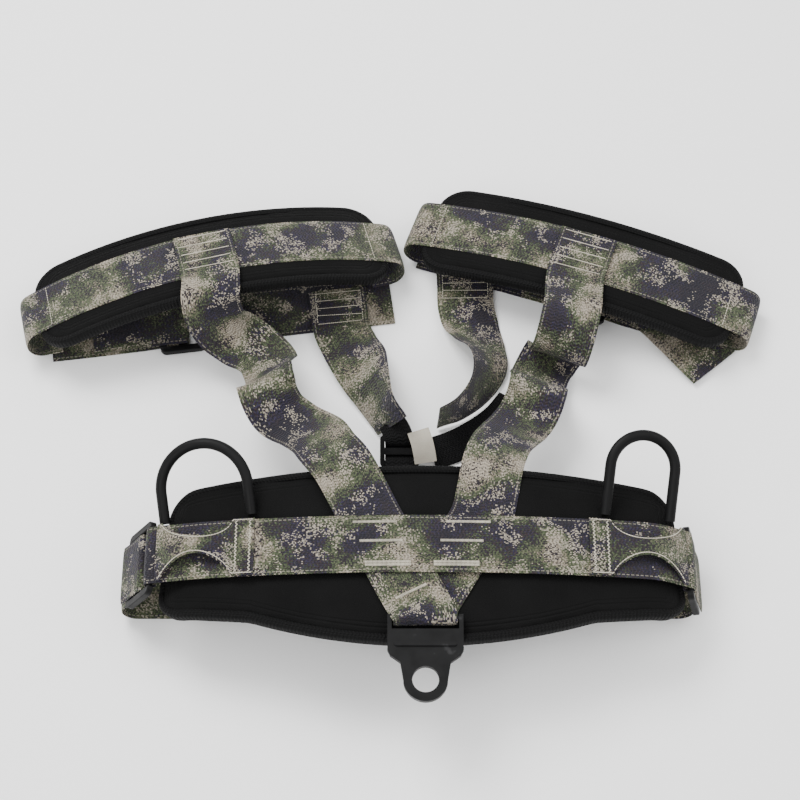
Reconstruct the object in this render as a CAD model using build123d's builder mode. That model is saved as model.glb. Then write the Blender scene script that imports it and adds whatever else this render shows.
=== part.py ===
from build123d import *
import os
from math import asin, cos, degrees, radians, sin, sqrt

# Padded sit harness, laid out flat: a waist belt arched over its pad, two leg bands
# beyond it, and the straps that join them. +X is the wearer's side to side, +Y runs
# from the belt towards the leg bands, +Z is up, and the floor is z = 0.
# The origin is on the floor under the belt's middle, below the front buckle.

# ---------------------------------------------------------------- driving sizes, mm
# Webbing
WEB_WIDTH = 45.0
WEB_THICK = 1.8
PLY_GAP = 0.4  # air between two layers of webbing or pad

# Waist pad and the arch that it is bent to
PAD_CROWN_HEIGHT = 75.0  # top of the pad's outer skin above the floor
PAD_CROWN_RADIUS = 1100.0
PAD_CROWN_HALF_SPAN = 158.0  # where the flat crown meets the round ends
PAD_END_RADIUS = 50.0
PAD_COVER_THICK = 1.0
PAD_FOAM_THICK = 8.0
PAD_LINING_THICK = 1.5
PAD_HALF_LENGTH = (183.0, 191.0)  # along the +Y edge and along the -Y edge
PAD_TOP_EDGE = (50.0, 66.0)  # +Y edge at the ends and in the middle
PAD_LOW_EDGE = (-44.0, -52.0, -73.0)  # -Y edge at the ends, the shoulders and the middle
PAD_SHOULDER = 120.0
PAD_CORNER_RADIUS = 18.0
BINDING_WIDTH = 3.0
BINDING_PROUD = 0.4

# Belt ends: the belt leaves its arch straight at one slope, and the side adjuster hangs
# more steeply from the round bar that the belt is folded over
BELT_SLOPE = {"left": 12.0, "right": 30.0}
BELT_REACH = {"left": 34.0, "right": 18.0}  # from the end of the arch to that bar
ADJUSTER_SLOPE = {"left": 58.0, "right": 76.0}
TURN_RADIUS_AT_FLOOR = 12.0

# Slide adjusters (four alike): frame, fixed bar, thin end bar, sliding bar
FRAME_LENGTH = 36.0
FRAME_WIDTH = WEB_WIDTH + 13.0
FRAME_THICK = 4.5
FRAME_CORNER = 5.0
END_BAR = 5.0
FIXED_BAR_RADIUS = 2.25
THIN_BAR_THICK = 2.2
WINDOW_SIDE_GAP = 1.0
BAR_LENGTH = 7.0
BAR_THICK = 2.2
BAR_TRAVEL = 3.0
BAR_SLOT_DEPTH = 2.5
BAR_CLEARANCE = 0.15
STRAP_TAIL = 24.0

# Front buckle, on the floor under the belt's middle
BUCKLE_WIDTH = WEB_WIDTH + 13.0
BUCKLE_HEIGHT = 8.0
BUCKLE_START = -34.0
BUCKLE_MOUTH = 6.0
BUCKLE_BAR = 5.0
BUCKLE_BAR_WINDOW = 7.0
TONGUE_THICK = 3.0
TONGUE_HEAD_WIDTH = 40.0
TONGUE_HEAD_DEPTH = 22.0
TONGUE_TRAVEL = 18.0
TONGUE_SHOULDER = 4.0
BUTTON_LENGTH = 12.0
BUTTON_CENTRE = -8.0
BUTTON_HEIGHT = 4.4
BUTTON_TRAVEL = 2.5
BUTTON_FLANGE = 2.0
RUN_GAP = 0.3  # clearance round pieces that slide in the buckle

# Soft side loops on the belt
LOOP_START = 126.0
LOOP_HUMP_START = 142.0
LOOP_END_MARGIN = 6.0  # from the loop's outer end to the belt's bar
LOOP_STAND_OFF = 10.0
LOOP_WAIST = 15.0
LOOP_SCOOP_RADIUS = 16.0

# Gear loops: plastic sleeve over a cord core
SLEEVE_DIAMETER = 8.0
SLEEVE_BORE = 5.0
CORE_DIAMETER = 4.8
GEAR_BASE_Y = 27.5
GEAR_STAND_OFF = 5.0
GEAR_TILT = 30.0
GEAR_FEET = {"left": (183.0, 122.0), "right": (177.0, 131.5)}
GEAR_HEIGHT = {"left": 55.0, "right": 60.0}
GEAR_TAB_WIDTH = 12.0

# Attachment plate and the webbing loop that holds it
PLATE_BAR_X = 2.0
PLATE_BAR_Y = -58.0
PLATE_BAR_RADIUS = 2.5
PLATE_THICK = 5.0
PLATE_SLOT_WIDTH = WEB_WIDTH + 2.0
PLATE_WIDTH = PLATE_SLOT_WIDTH + 6.0
PLATE_SLOT_HEIGHT = 5.5
PLATE_SHOULDER = 23.0  # bar centre to where the sides taper to the ear
PLATE_HOLE_REACH = 44.0  # bar centre to hole centre
PLATE_HOLE_RADIUS = 9.25
PLATE_EAR_RADIUS = 15.5
PLATE_DROOP = 8.0
PLATE_LOOP_GAP = 0.5

# Leg bands. centre: plan position; turn: angle in plan; lean: roll of the padded half
LEGS = {
    "left": dict(centre=(-163.5, 252.0), turn=13.8, lean=12.0, length=304.0, height=54.0,
                 fold=13.0, lift=6.9, riser_at=-1.0, strap_shift=-14.0, strap_turn=7.5,
                 outward=-1, adjuster_at=30.0, tail_turn=0.0, tail=44.0),
    "right": dict(centre=(128.5, 269.0), turn=-18.5, lean=4.0, length=285.0, height=40.0,
                  fold=12.0, lift=3.9, riser_at=-1.0, strap_shift=-2.0, strap_turn=-18.5,
                  outward=1, adjuster_at=10.0, tail_turn=-31.0, tail=96.0),
}
LEG_PAD_WIDTH = 84.0
LEG_PAD_GAP = 0.8
LEG_COVER_THICK = 1.0
LEG_FOAM_THICK = 6.0
LEG_LINING_THICK = 1.2
LEG_PAD_CORNER = 22.0
LEG_PAD_END_MARGIN = 8.0
LEG_TONGUE = 14.0
TACK_TAB_LENGTH = 44.0

# Front straps and their slider
SLIDER_SIZE = (30.0, 24.0, 3.5)
SLIDER_PLACE = (-16.0, 115.0, 7.5)
SLIDER_LEAN = 35.0
LINK_WIDTH = 25.0
LABEL_SIZE = (20.0, 26.0, 0.5)

# ---------------------------------------------------------------- derived places
CROWN_CENTRE_Z = PAD_CROWN_HEIGHT - PAD_CROWN_RADIUS
CROWN_HALF_ANGLE = degrees(asin(PAD_CROWN_HALF_SPAN / PAD_CROWN_RADIUS))
END_CENTRE_X = (PAD_CROWN_RADIUS - PAD_END_RADIUS) * sin(radians(CROWN_HALF_ANGLE))
END_CENTRE_Z = CROWN_CENTRE_Z + (PAD_CROWN_RADIUS - PAD_END_RADIUS) * cos(radians(CROWN_HALF_ANGLE))
PAD_THICK = PAD_COVER_THICK + PAD_FOAM_THICK + PAD_LINING_THICK

# Heights of the webbing layers above the pad's outer skin
LOWER_PLY = BINDING_PROUD + PLY_GAP
UPPER_PLY = LOWER_PLY + WEB_THICK + PLY_GAP
BELT_PLY = UPPER_PLY + WEB_THICK + PLY_GAP
LOOP_PLY = BELT_PLY + WEB_THICK + PLY_GAP

SIDES = ("left", "right")
SIGN = {"left": -1, "right": 1}
# Upright planes that look along Y, with local x pointing away from the middle
SIDE_PLANE = {
    "left": Plane((0, 0, 0), x_dir=(-1, 0, 0), z_dir=(0, 1, 0)),
    "right": Plane.XZ,
}

WINDOW_WIDTH = WEB_WIDTH + 2 * WINDOW_SIDE_GAP
FIXED_LOOP_INNER = FIXED_BAR_RADIUS + BAR_CLEARANCE * 2
SLIDE_LOOP_INNER = BAR_THICK / 2 + PLY_GAP
FIXED_BAR_X = -FRAME_LENGTH / 2 + FIXED_BAR_RADIUS
BAR_X = 0.0
SLIDE_LOOP_X = BAR_X - BAR_LENGTH / 2 + BAR_THICK / 2


def waist_pad_z(x):
    """Height of the pad's outer skin over a point x of its crown."""
    return CROWN_CENTRE_Z + sqrt(PAD_CROWN_RADIUS**2 - x**2)


def end_point(offset, angle):
    """Point on a round end of the arch, offset outwards from the skin, in the side plane."""
    reach = PAD_END_RADIUS + offset
    return (END_CENTRE_X + reach * sin(radians(angle)), END_CENTRE_Z + reach * cos(radians(angle)))


def skin_point(offset, x):
    """Point above the skin at distance x from the middle, and the skin's angle there."""
    if x < PAD_CROWN_HALF_SPAN:
        angle = degrees(asin(x / PAD_CROWN_RADIUS))
        reach = PAD_CROWN_RADIUS + offset
        return (reach * sin(radians(angle)), CROWN_CENTRE_Z + reach * cos(radians(angle))), angle
    angle = degrees(asin((x - END_CENTRE_X) / PAD_END_RADIUS))
    return end_point(offset, angle), angle


def arch_lines(offset, left_angle, right_angle):
    """Three tangent arcs at one offset from the skin, from the left end to the right."""
    left = CenterArc((-END_CENTRE_X, END_CENTRE_Z), PAD_END_RADIUS + offset, 90 + left_angle,
                     CROWN_HALF_ANGLE - left_angle)
    CenterArc((0, CROWN_CENTRE_Z), PAD_CROWN_RADIUS + offset, 90 + CROWN_HALF_ANGLE,
              -2 * CROWN_HALF_ANGLE)
    right = CenterArc((END_CENTRE_X, END_CENTRE_Z), PAD_END_RADIUS + offset,
                      90 - CROWN_HALF_ANGLE, CROWN_HALF_ANGLE - right_angle)
    return left @ 0, right @ 1


def arch_layer(top, bottom):
    """Layer of the waist arch between two offsets from the skin, wider than the pad."""
    end_angle = 66.0
    with BuildSketch(Plane.XZ) as section:
        with BuildLine():
            top_left, top_right = arch_lines(top, end_angle, end_angle)
            low_left, low_right = arch_lines(bottom, end_angle, end_angle)
            Line(top_left, low_left)
            Line(top_right, low_right)
        make_face()
    extrude(section.sketch, amount=2 * PAD_CROWN_HEIGHT, both=True)


def pad_outline(inset):
    """Plan outline of the waist pad, drawn in from its edge by the given amount."""
    ends, middle = PAD_TOP_EDGE
    low_ends, low_shoulder, low_middle = PAD_LOW_EDGE
    top_x, low_x = PAD_HALF_LENGTH
    with BuildSketch(Plane.XY) as outline:
        with BuildLine():
            ThreePointArc((-top_x, ends), (0, middle), (top_x, ends))
            Line((top_x, ends), (low_x, low_ends))
            Line((low_x, low_ends), (PAD_SHOULDER, low_shoulder))
            ThreePointArc((PAD_SHOULDER, low_shoulder), (0, low_middle), (-PAD_SHOULDER, low_shoulder))
            Line((-PAD_SHOULDER, low_shoulder), (-low_x, low_ends))
            Line((-low_x, low_ends), (-top_x, ends))
        make_face()
        corners = outline.vertices().filter_by(lambda v: abs(v.X) > PAD_SHOULDER + 1)
        fillet(corners, radius=PAD_CORNER_RADIUS)
        shoulders = outline.vertices().filter_by(lambda v: abs(abs(v.X) - PAD_SHOULDER) < 1)
        fillet(shoulders, radius=3 * PAD_CORNER_RADIUS)
        if inset:
            offset(amount=-inset)
    return outline.sketch


def finish(piece, name):
    """Label a finished piece and write it."""
    piece.part.label = name
    export_step(piece.part, f"parts/{name}.step")


os.makedirs("parts", exist_ok=True)

# ---------------------------------------------------------------- waist pad
pad_layers = {
    "waist_pad_cover": (0, -PAD_COVER_THICK),
    "waist_pad_foam": (-PAD_COVER_THICK, -PAD_COVER_THICK - PAD_FOAM_THICK),
    "waist_pad_lining": (-PAD_COVER_THICK - PAD_FOAM_THICK, -PAD_THICK),
}
for name, (top, bottom) in pad_layers.items():
    with BuildPart() as layer:
        arch_layer(top, bottom)
        extrude(pad_outline(BINDING_WIDTH), amount=2 * PAD_CROWN_HEIGHT, mode=Mode.INTERSECT)
    finish(layer, name)

with BuildPart() as waist_pad_binding:
    arch_layer(BINDING_PROUD, -PAD_THICK - BINDING_PROUD)
    with BuildSketch(Plane.XY):
        add(pad_outline(0))
        add(pad_outline(BINDING_WIDTH), mode=Mode.SUBTRACT)
    extrude(amount=2 * PAD_CROWN_HEIGHT, mode=Mode.INTERSECT)
finish(waist_pad_binding, "waist_pad_binding")


# ---------------------------------------------------------------- slide adjusters
def belt_bar(side):
    """Middle of the bar that the belt is folded over, and the belt's slope directions there."""
    slope = radians(BELT_SLOPE[side])
    bend_x, bend_z = end_point(BELT_PLY, BELT_SLOPE[side])
    along = (cos(slope), -sin(slope))
    normal = (sin(slope), cos(slope))
    return ((bend_x + BELT_REACH[side] * along[0] - FIXED_LOOP_INNER * normal[0],
             bend_z + BELT_REACH[side] * along[1] - FIXED_LOOP_INNER * normal[1]), along, normal)


def side_adjuster_place(side):
    """Middle of a side adjuster and its two directions, in the side plane."""
    slope = radians(ADJUSTER_SLOPE[side])
    bar = belt_bar(side)[0]
    along = (cos(slope), -sin(slope))
    normal = (sin(slope), cos(slope))
    return (bar[0] - FIXED_BAR_X * along[0], bar[1] - FIXED_BAR_X * along[1]), along, normal


def side_adjuster_plane(side):
    """Plane of a side adjuster: local x leads outwards and down, local z outwards and up."""
    middle, along, normal = side_adjuster_place(side)
    sign = SIGN[side]
    return Plane((sign * middle[0], 0, middle[1]), x_dir=(sign * along[0], 0, along[1]),
                 z_dir=(sign * normal[0], 0, normal[1]))


def leg_direction(angle):
    """Unit vectors along and across a band lying at an angle in plan."""
    turn = radians(angle)
    return Vector(cos(turn), sin(turn), 0), Vector(-sin(turn), cos(turn), 0)


def leg_strap_plane(leg):
    """Floor plane of a leg band's lower straps: local x along them."""
    across = leg_direction(leg["turn"])[1]
    along = leg_direction(leg["strap_turn"])[0]
    return Plane(Vector(*leg["centre"], 0) + across * leg["strap_shift"], x_dir=along, z_dir=(0, 0, 1))


def leg_adjuster_plane(leg):
    """Plane of a leg adjuster: local x leads to the band's outer end."""
    floor = leg_strap_plane(leg)
    place = floor.from_local_coords((leg["outward"] * leg["adjuster_at"], 0, WEB_THICK + FIXED_LOOP_INNER))
    return Plane(place, x_dir=floor.x_dir * leg["outward"], z_dir=(0, 0, 1))


def adjuster(plane, frame_name, bar_name):
    """Frame with a fixed bar and a thinned end bar, and the bar that slides in its rails."""
    bar_width = WINDOW_WIDTH + 2 * BAR_SLOT_DEPTH - 4 * BAR_CLEARANCE
    slot_length = BAR_LENGTH + BAR_TRAVEL + 2 * RUN_GAP
    slot_x = BAR_X + BAR_TRAVEL / 2
    with BuildPart() as frame:
        with BuildSketch(plane.offset(-FRAME_THICK / 2)):
            RectangleRounded(FRAME_LENGTH, FRAME_WIDTH, FRAME_CORNER)
            with Locations((-END_BAR, 0)):
                Rectangle(FRAME_LENGTH, WINDOW_WIDTH, mode=Mode.SUBTRACT)
        extrude(amount=FRAME_THICK)
        chamfer(frame.faces().group_by(Axis(plane.origin, plane.z_dir))[-1].edges(), length=0.5)
        with BuildSketch(plane.offset(-BAR_THICK / 2 - BAR_CLEARANCE)):
            with Locations((slot_x, 0)):
                Rectangle(slot_length, WINDOW_WIDTH + 2 * BAR_SLOT_DEPTH)
        extrude(amount=BAR_THICK + 2 * BAR_CLEARANCE, mode=Mode.SUBTRACT)
        for height in (THIN_BAR_THICK / 2, -THIN_BAR_THICK / 2 - FRAME_THICK):
            with BuildSketch(plane.offset(height)):
                with Locations((FRAME_LENGTH / 2 - END_BAR / 2, 0)):
                    Rectangle(END_BAR + 1, WINDOW_WIDTH)
            extrude(amount=FRAME_THICK, mode=Mode.SUBTRACT)
        with BuildSketch(Plane(plane.from_local_coords((FIXED_BAR_X, 0, 0)), x_dir=plane.x_dir,
                               z_dir=plane.y_dir)):
            Circle(FIXED_BAR_RADIUS)
        extrude(amount=WINDOW_WIDTH / 2 + 1, both=True)
    finish(frame, frame_name)
    with BuildPart() as bar:
        with BuildSketch(Plane(plane.from_local_coords((BAR_X, 0, 0)), x_dir=plane.x_dir,
                               z_dir=plane.y_dir)):
            SlotOverall(BAR_LENGTH, BAR_THICK)
        extrude(amount=bar_width / 2, both=True)
    finish(bar, bar_name)


for side in SIDES:
    adjuster(side_adjuster_plane(side), f"side_adjuster_{side}_frame", f"side_adjuster_{side}_bar")
    adjuster(leg_adjuster_plane(LEGS[side]), f"leg_adjuster_{side}_frame", f"leg_adjuster_{side}_bar")


# ---------------------------------------------------------------- waist belt
def in_plane(place, local_x, local_z):
    """Point of an adjuster's own frame, in the side plane."""
    middle, along, normal = place
    return (middle[0] + local_x * along[0] + local_z * normal[0],
            middle[1] + local_x * along[1] + local_z * normal[1])


BELT_RETURN = 1.0  # turned-in end of the belt past each bar
with BuildPart() as belt_webbing:
    with BuildSketch(Plane.XZ):
        with BuildLine():
            for side in SIDES:
                bar = belt_bar(side)
                sign = SIGN[side]
                ends = []
                for half in (FIXED_LOOP_INNER, FIXED_LOOP_INNER + WEB_THICK):
                    points = [in_plane(bar, *p) for p in (
                        (-BELT_RETURN, -half), (0, -half), (half, 0), (0, half), (-BELT_REACH[side], half))]
                    points = [(sign * x, z) for x, z in points]
                    Line(points[0], points[1])
                    ThreePointArc(points[1], points[2], points[3])
                    Line(points[3], points[4])
                    ends.append(points[0])
                Line(*ends)
            for ply in (BELT_PLY, BELT_PLY + WEB_THICK):
                arch_lines(ply, BELT_SLOPE["left"], BELT_SLOPE["right"])
        make_face()
    extrude(amount=WEB_WIDTH / 2, both=True)
finish(belt_webbing, "belt_webbing")

# The front straps leave each side adjuster, turn in at the floor and meet at the buckle.
FLOOR_LOOP_Z = WEB_THICK + RUN_GAP + TONGUE_THICK / 2  # middle of the buckle's bars
FLOOR_LOOP_INNER = FLOOR_LOOP_Z - WEB_THICK
TONGUE_WINDOW_START = BUCKLE_MOUTH + TONGUE_SHOULDER + 1
TONGUE_BAR_X = TONGUE_WINDOW_START + TONGUE_TRAVEL + FLOOR_LOOP_INNER + WEB_THICK + 1
# How far from the middle each strap turns back round its bar, and how long the return is
FRONT_LOOP = {"left": (-(BUCKLE_START + BUCKLE_BAR), 20.0), "right": (TONGUE_BAR_X, TONGUE_TRAVEL + 14.0)}

for side in SIDES:
    place = side_adjuster_place(side)
    middle, along, normal = place
    turn = TURN_RADIUS_AT_FLOOR
    straight = (middle[1] - SLIDE_LOOP_INNER * normal[1] - turn * (1 + normal[1])) / -along[1]
    turn_start = in_plane(place, straight, -SLIDE_LOOP_INNER)
    turn_centre = (turn_start[0] - turn * normal[0], turn_start[1] - turn * normal[1])
    loop_x, return_length = FRONT_LOOP[side]
    with BuildPart() as front_webbing:
        with BuildSketch(SIDE_PLANE[side]):
            with BuildLine():
                ends = []
                for depth in (0, WEB_THICK):
                    half = SLIDE_LOOP_INNER + depth
                    floor_half = FLOOR_LOOP_INNER + WEB_THICK - depth
                    tail = Line(in_plane(place, STRAP_TAIL, half), in_plane(place, SLIDE_LOOP_X, half))
                    loop = ThreePointArc(tail @ 1, in_plane(place, SLIDE_LOOP_X - half, 0),
                                         in_plane(place, SLIDE_LOOP_X, -half))
                    Line(loop @ 1, in_plane(place, straight, -half))
                    bend = CenterArc(turn_centre, turn - depth, 90 - ADJUSTER_SLOPE[side],
                                     ADJUSTER_SLOPE[side] - 180)
                    floor_run = Line(bend @ 1, (loop_x, depth))
                    bar_turn = ThreePointArc(floor_run @ 1, (loop_x - floor_half, FLOOR_LOOP_Z),
                                             (loop_x, FLOOR_LOOP_Z + floor_half))
                    end = Line(bar_turn @ 1, (loop_x + return_length, FLOOR_LOOP_Z + floor_half))
                    ends.append((tail @ 0, end @ 1))
                Line(ends[0][0], ends[1][0])
                Line(ends[0][1], ends[1][1])
            make_face()
        extrude(amount=WEB_WIDTH / 2, both=True)
    finish(front_webbing, f"front_webbing_{side}")

# ---------------------------------------------------------------- front buckle
head_half = TONGUE_HEAD_WIDTH / 2
mouth_to_bar = BUCKLE_START + BUCKLE_BAR + BUCKLE_BAR_WINDOW
with BuildPart() as front_buckle_socket:
    with BuildSketch(Plane.XY):
        with Locations(((BUCKLE_START + BUCKLE_MOUTH) / 2, 0)):
            RectangleRounded(BUCKLE_MOUTH - BUCKLE_START, BUCKLE_WIDTH, FRAME_CORNER)
        with Locations((mouth_to_bar - BUCKLE_BAR_WINDOW / 2, 0)):
            Rectangle(BUCKLE_BAR_WINDOW, WINDOW_WIDTH, mode=Mode.SUBTRACT)
    extrude(amount=BUCKLE_HEIGHT)
    # the end bar is thinned so that the webbing passes above and below it
    for height, depth in ((0, FLOOR_LOOP_Z - TONGUE_THICK / 2),
                          (FLOOR_LOOP_Z + TONGUE_THICK / 2, BUCKLE_HEIGHT)):
        with BuildSketch(Plane.XY.offset(height)):
            with Locations((BUCKLE_START + BUCKLE_BAR / 2, 0)):
                Rectangle(BUCKLE_BAR + 1, WINDOW_WIDTH)
        extrude(amount=depth, mode=Mode.SUBTRACT)
    pocket_start = mouth_to_bar + 2
    with BuildSketch(Plane.XY.offset(FLOOR_LOOP_Z - TONGUE_THICK / 2 - RUN_GAP)):
        with Locations(((pocket_start + BUCKLE_MOUTH) / 2, 0)):
            Rectangle(BUCKLE_MOUTH - pocket_start, TONGUE_HEAD_WIDTH + 2 * RUN_GAP)
    extrude(amount=TONGUE_THICK + 2 * RUN_GAP, mode=Mode.SUBTRACT)
    button_base = FLOOR_LOOP_Z - BUTTON_HEIGHT / 2
    flange_room = head_half + RUN_GAP + BUTTON_TRAVEL + 0.5 + BUTTON_FLANGE + RUN_GAP
    with BuildSketch(Plane.XY.offset(button_base - RUN_GAP)):
        with Locations((BUTTON_CENTRE, 0)):
            Rectangle(BUTTON_LENGTH + 2 * RUN_GAP, BUCKLE_WIDTH + 2)
            Rectangle(BUTTON_LENGTH + 2 * BUTTON_FLANGE + 2 * RUN_GAP, 2 * flange_room)
    extrude(amount=BUTTON_HEIGHT + 2 * RUN_GAP, mode=Mode.SUBTRACT)
finish(front_buckle_socket, "front_buckle_socket")

with BuildPart() as front_buckle_tongue:
    with BuildSketch(Plane.XY.offset(FLOOR_LOOP_Z - TONGUE_THICK / 2)):
        with Locations((BUCKLE_MOUTH - TONGUE_HEAD_DEPTH / 2, 0)):
            Rectangle(TONGUE_HEAD_DEPTH + 2, TONGUE_HEAD_WIDTH)
        body_start = BUCKLE_MOUTH + 1
        body_end = TONGUE_BAR_X + BUCKLE_BAR
        with Locations(((body_start + body_end) / 2, 0)):
            RectangleRounded(body_end - body_start, BUCKLE_WIDTH, 4)
        with Locations(((TONGUE_WINDOW_START + TONGUE_BAR_X) / 2, 0)):
            Rectangle(TONGUE_BAR_X - TONGUE_WINDOW_START, WINDOW_WIDTH, mode=Mode.SUBTRACT)
    extrude(amount=TONGUE_THICK)
finish(front_buckle_tongue, "front_buckle_tongue")

for side, sign in (("front", 1), ("back", -1)):
    inner_y = head_half + RUN_GAP + BUTTON_TRAVEL + 0.5
    with BuildPart() as button:
        with BuildSketch(Plane.XY.offset(button_base)):
            with Locations((BUTTON_CENTRE, sign * (inner_y + BUCKLE_WIDTH / 2 + BUTTON_TRAVEL) / 2)):
                Rectangle(BUTTON_LENGTH, BUCKLE_WIDTH / 2 + BUTTON_TRAVEL - inner_y)
            with Locations((BUTTON_CENTRE, sign * (inner_y + BUTTON_FLANGE / 2))):
                Rectangle(BUTTON_LENGTH + 2 * BUTTON_FLANGE, BUTTON_FLANGE)
        extrude(amount=BUTTON_HEIGHT)
    finish(button, f"front_buckle_button_{side}")

# ---------------------------------------------------------------- soft side loops
for side in SIDES:
    place = belt_bar(side)
    outer_half = FIXED_LOOP_INNER + WEB_THICK + PLY_GAP
    hump_to = in_plane(place, -LOOP_END_MARGIN, outer_half)
    start_angle, from_angle = (degrees(asin(x / PAD_CROWN_RADIUS)) for x in (LOOP_START, LOOP_HUMP_START))
    reach = PAD_CROWN_RADIUS + LOOP_PLY
    hump_from = (reach * sin(radians(from_angle)), CROWN_CENTRE_Z + reach * cos(radians(from_angle)))
    across = Vector(hump_to[0] - hump_from[0], hump_to[1] - hump_from[1])
    rise = Vector(-across.Y, across.X).normalized() * LOOP_STAND_OFF
    middle = Vector((hump_from[0] + hump_to[0]) / 2, (hump_from[1] + hump_to[1]) / 2)
    with BuildPart() as side_loop:
        with BuildSketch(SIDE_PLANE[side]):
            with BuildLine():
                ends = []
                for depth in (0, WEB_THICK):
                    lift = Vector(0, depth)
                    flat = CenterArc((0, CROWN_CENTRE_Z), reach + depth, 90 - start_angle,
                                     start_angle - from_angle)
                    hump = ThreePointArc(flat @ 1, middle + rise + lift, Vector(*hump_to) + lift)
                    ends.append((flat @ 0, hump @ 1))
                Line(ends[0][0], ends[1][0])
                Line(ends[0][1], ends[1][1])
            make_face()
        extrude(amount=WEB_WIDTH / 2, both=True)
        scoop_x = SIGN[side] * (hump_from[0] + hump_to[0]) / 2
        scoop_y = LOOP_WAIST / 2 + LOOP_SCOOP_RADIUS
        with BuildSketch(Plane.XY):
            with Locations((scoop_x, scoop_y), (scoop_x, -scoop_y)):
                Circle(LOOP_SCOOP_RADIUS)
        extrude(amount=2 * PAD_CROWN_HEIGHT, mode=Mode.SUBTRACT)
    finish(side_loop, f"side_loop_{side}")

# ---------------------------------------------------------------- gear loops
gear_hinges = {}  # point and direction of each loop's hinge
for side in SIDES:
    sign = SIGN[side]
    (outer_x, outer_z), outer_angle = skin_point(GEAR_STAND_OFF, GEAR_FEET[side][0])
    (inner_x, inner_z), inner_angle = skin_point(GEAR_STAND_OFF, GEAR_FEET[side][1])
    outer_foot = Vector(sign * outer_x, GEAR_BASE_Y, outer_z)
    inner_foot = Vector(sign * inner_x, GEAR_BASE_Y, inner_z)
    base = inner_foot - outer_foot
    radius = base.length / 2
    base_x = base.normalized() if sign < 0 else base.normalized() * -1
    upright = Vector(-base_x.Z, 0, base_x.X)
    rise = Vector(0, cos(radians(GEAR_TILT)), 0) + upright * sin(radians(GEAR_TILT))
    loop_plane = Plane((outer_foot + inner_foot) / 2, x_dir=base_x, z_dir=base_x.cross(rise))
    gear_hinges[side] = ((outer_foot + inner_foot) / 2, base_x)
    with BuildLine(loop_plane) as route:
        first = Line((-radius, 0), (-radius, GEAR_HEIGHT[side] - radius))
        crown = CenterArc((0, GEAR_HEIGHT[side] - radius), radius, 180, -180)
        Line(crown @ 1, (radius, 0))
    start = Plane(route.line @ 0, z_dir=route.line % 0)
    for name, outside, bore in (("sleeve", SLEEVE_DIAMETER, SLEEVE_BORE), ("core", CORE_DIAMETER, 0)):
        with BuildPart() as cord:
            with BuildSketch(start):
                Circle(outside / 2)
                if bore:
                    Circle(bore / 2, mode=Mode.SUBTRACT)
            sweep(path=route.line)
        finish(cord, f"gear_loop_{side}_{name}")
    with BuildPart() as tabs:
        arch_layer(LOWER_PLY + WEB_THICK, LOWER_PLY)
        with BuildSketch(Plane.XY):
            for foot in GEAR_FEET[side]:
                with Locations((sign * foot, GEAR_BASE_Y - 12)):
                    Rectangle(GEAR_TAB_WIDTH, 14)
        extrude(amount=2 * PAD_CROWN_HEIGHT, mode=Mode.INTERSECT)
    finish(tabs, f"gear_loop_{side}_tabs")


# ---------------------------------------------------------------- straps as ribbons
def ribbon(stations, width=WEB_WIDTH, thick=WEB_THICK):
    """Flat strap through stations (x, y, z, turn, tilt). turn is the direction of its
    width in plan and tilt how far that width leans up; it runs square to its width."""
    centres = [Vector(x, y, z) for x, y, z, _, _ in stations]
    sections = []
    for index, (_, _, _, turn, tilt) in enumerate(stations):
        level = cos(radians(tilt))
        width_dir = Vector(level * cos(radians(turn)), level * sin(radians(turn)), sin(radians(tilt)))
        run = centres[min(index + 1, len(centres) - 1)] - centres[max(index - 1, 0)]
        run = run - width_dir * run.dot(width_dir)
        with BuildSketch(Plane(centres[index], x_dir=width_dir, z_dir=run)) as section:
            Rectangle(width, thick)
        sections.append(section.sketch)
    loft(sections, ruled=True)


def on_pad(x, y, ply, turn):
    """Ribbon station that lies on the waist pad's crown at one ply."""
    slope = degrees(asin(x / PAD_CROWN_RADIUS))
    return (x, y, waist_pad_z(x) + ply + WEB_THICK / 2, turn, -slope)


# The right riser lies under the left one, and both pass under the belt.
with BuildPart() as riser_left:
    ribbon([
        on_pad(-9.5, -33, UPPER_PLY, 27), on_pad(-23, -6, UPPER_PLY, 26), on_pad(-38, 24, UPPER_PLY, 24),
        on_pad(-48, 46, UPPER_PLY, 24), on_pad(-59, 67, UPPER_PLY + PLY_GAP, 28),
        (-68, 80, 74, 34, 0), (-76, 96, 64, 38, 0), (-85, 108, 53, 38, 0), (-96, 118, 46, 36, 0),
        (-107, 127, 46, 34, 0), (-114, 137, 52, 34, 0), (-117, 147, 55, 36, 0), (-117, 156, 50, 38, 0),
        (-115, 165, 41, 38, 0), (-115, 174, 33, 37, 0), (-119, 184, 29, 34, 0), (-129, 194, 29, 27, 0),
        (-141, 200, 33, 20, 0), (-152, 203, 42, 15, 0), (-158.5, 207, 55, 13, 0), (-161, 214.5, 66, 14, 0),
        (-161, 227, 68.7, 14, 0), (-161.3, 238.3, 66.4, 13.8, 0),
    ])
finish(riser_left, "riser_left")

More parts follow.
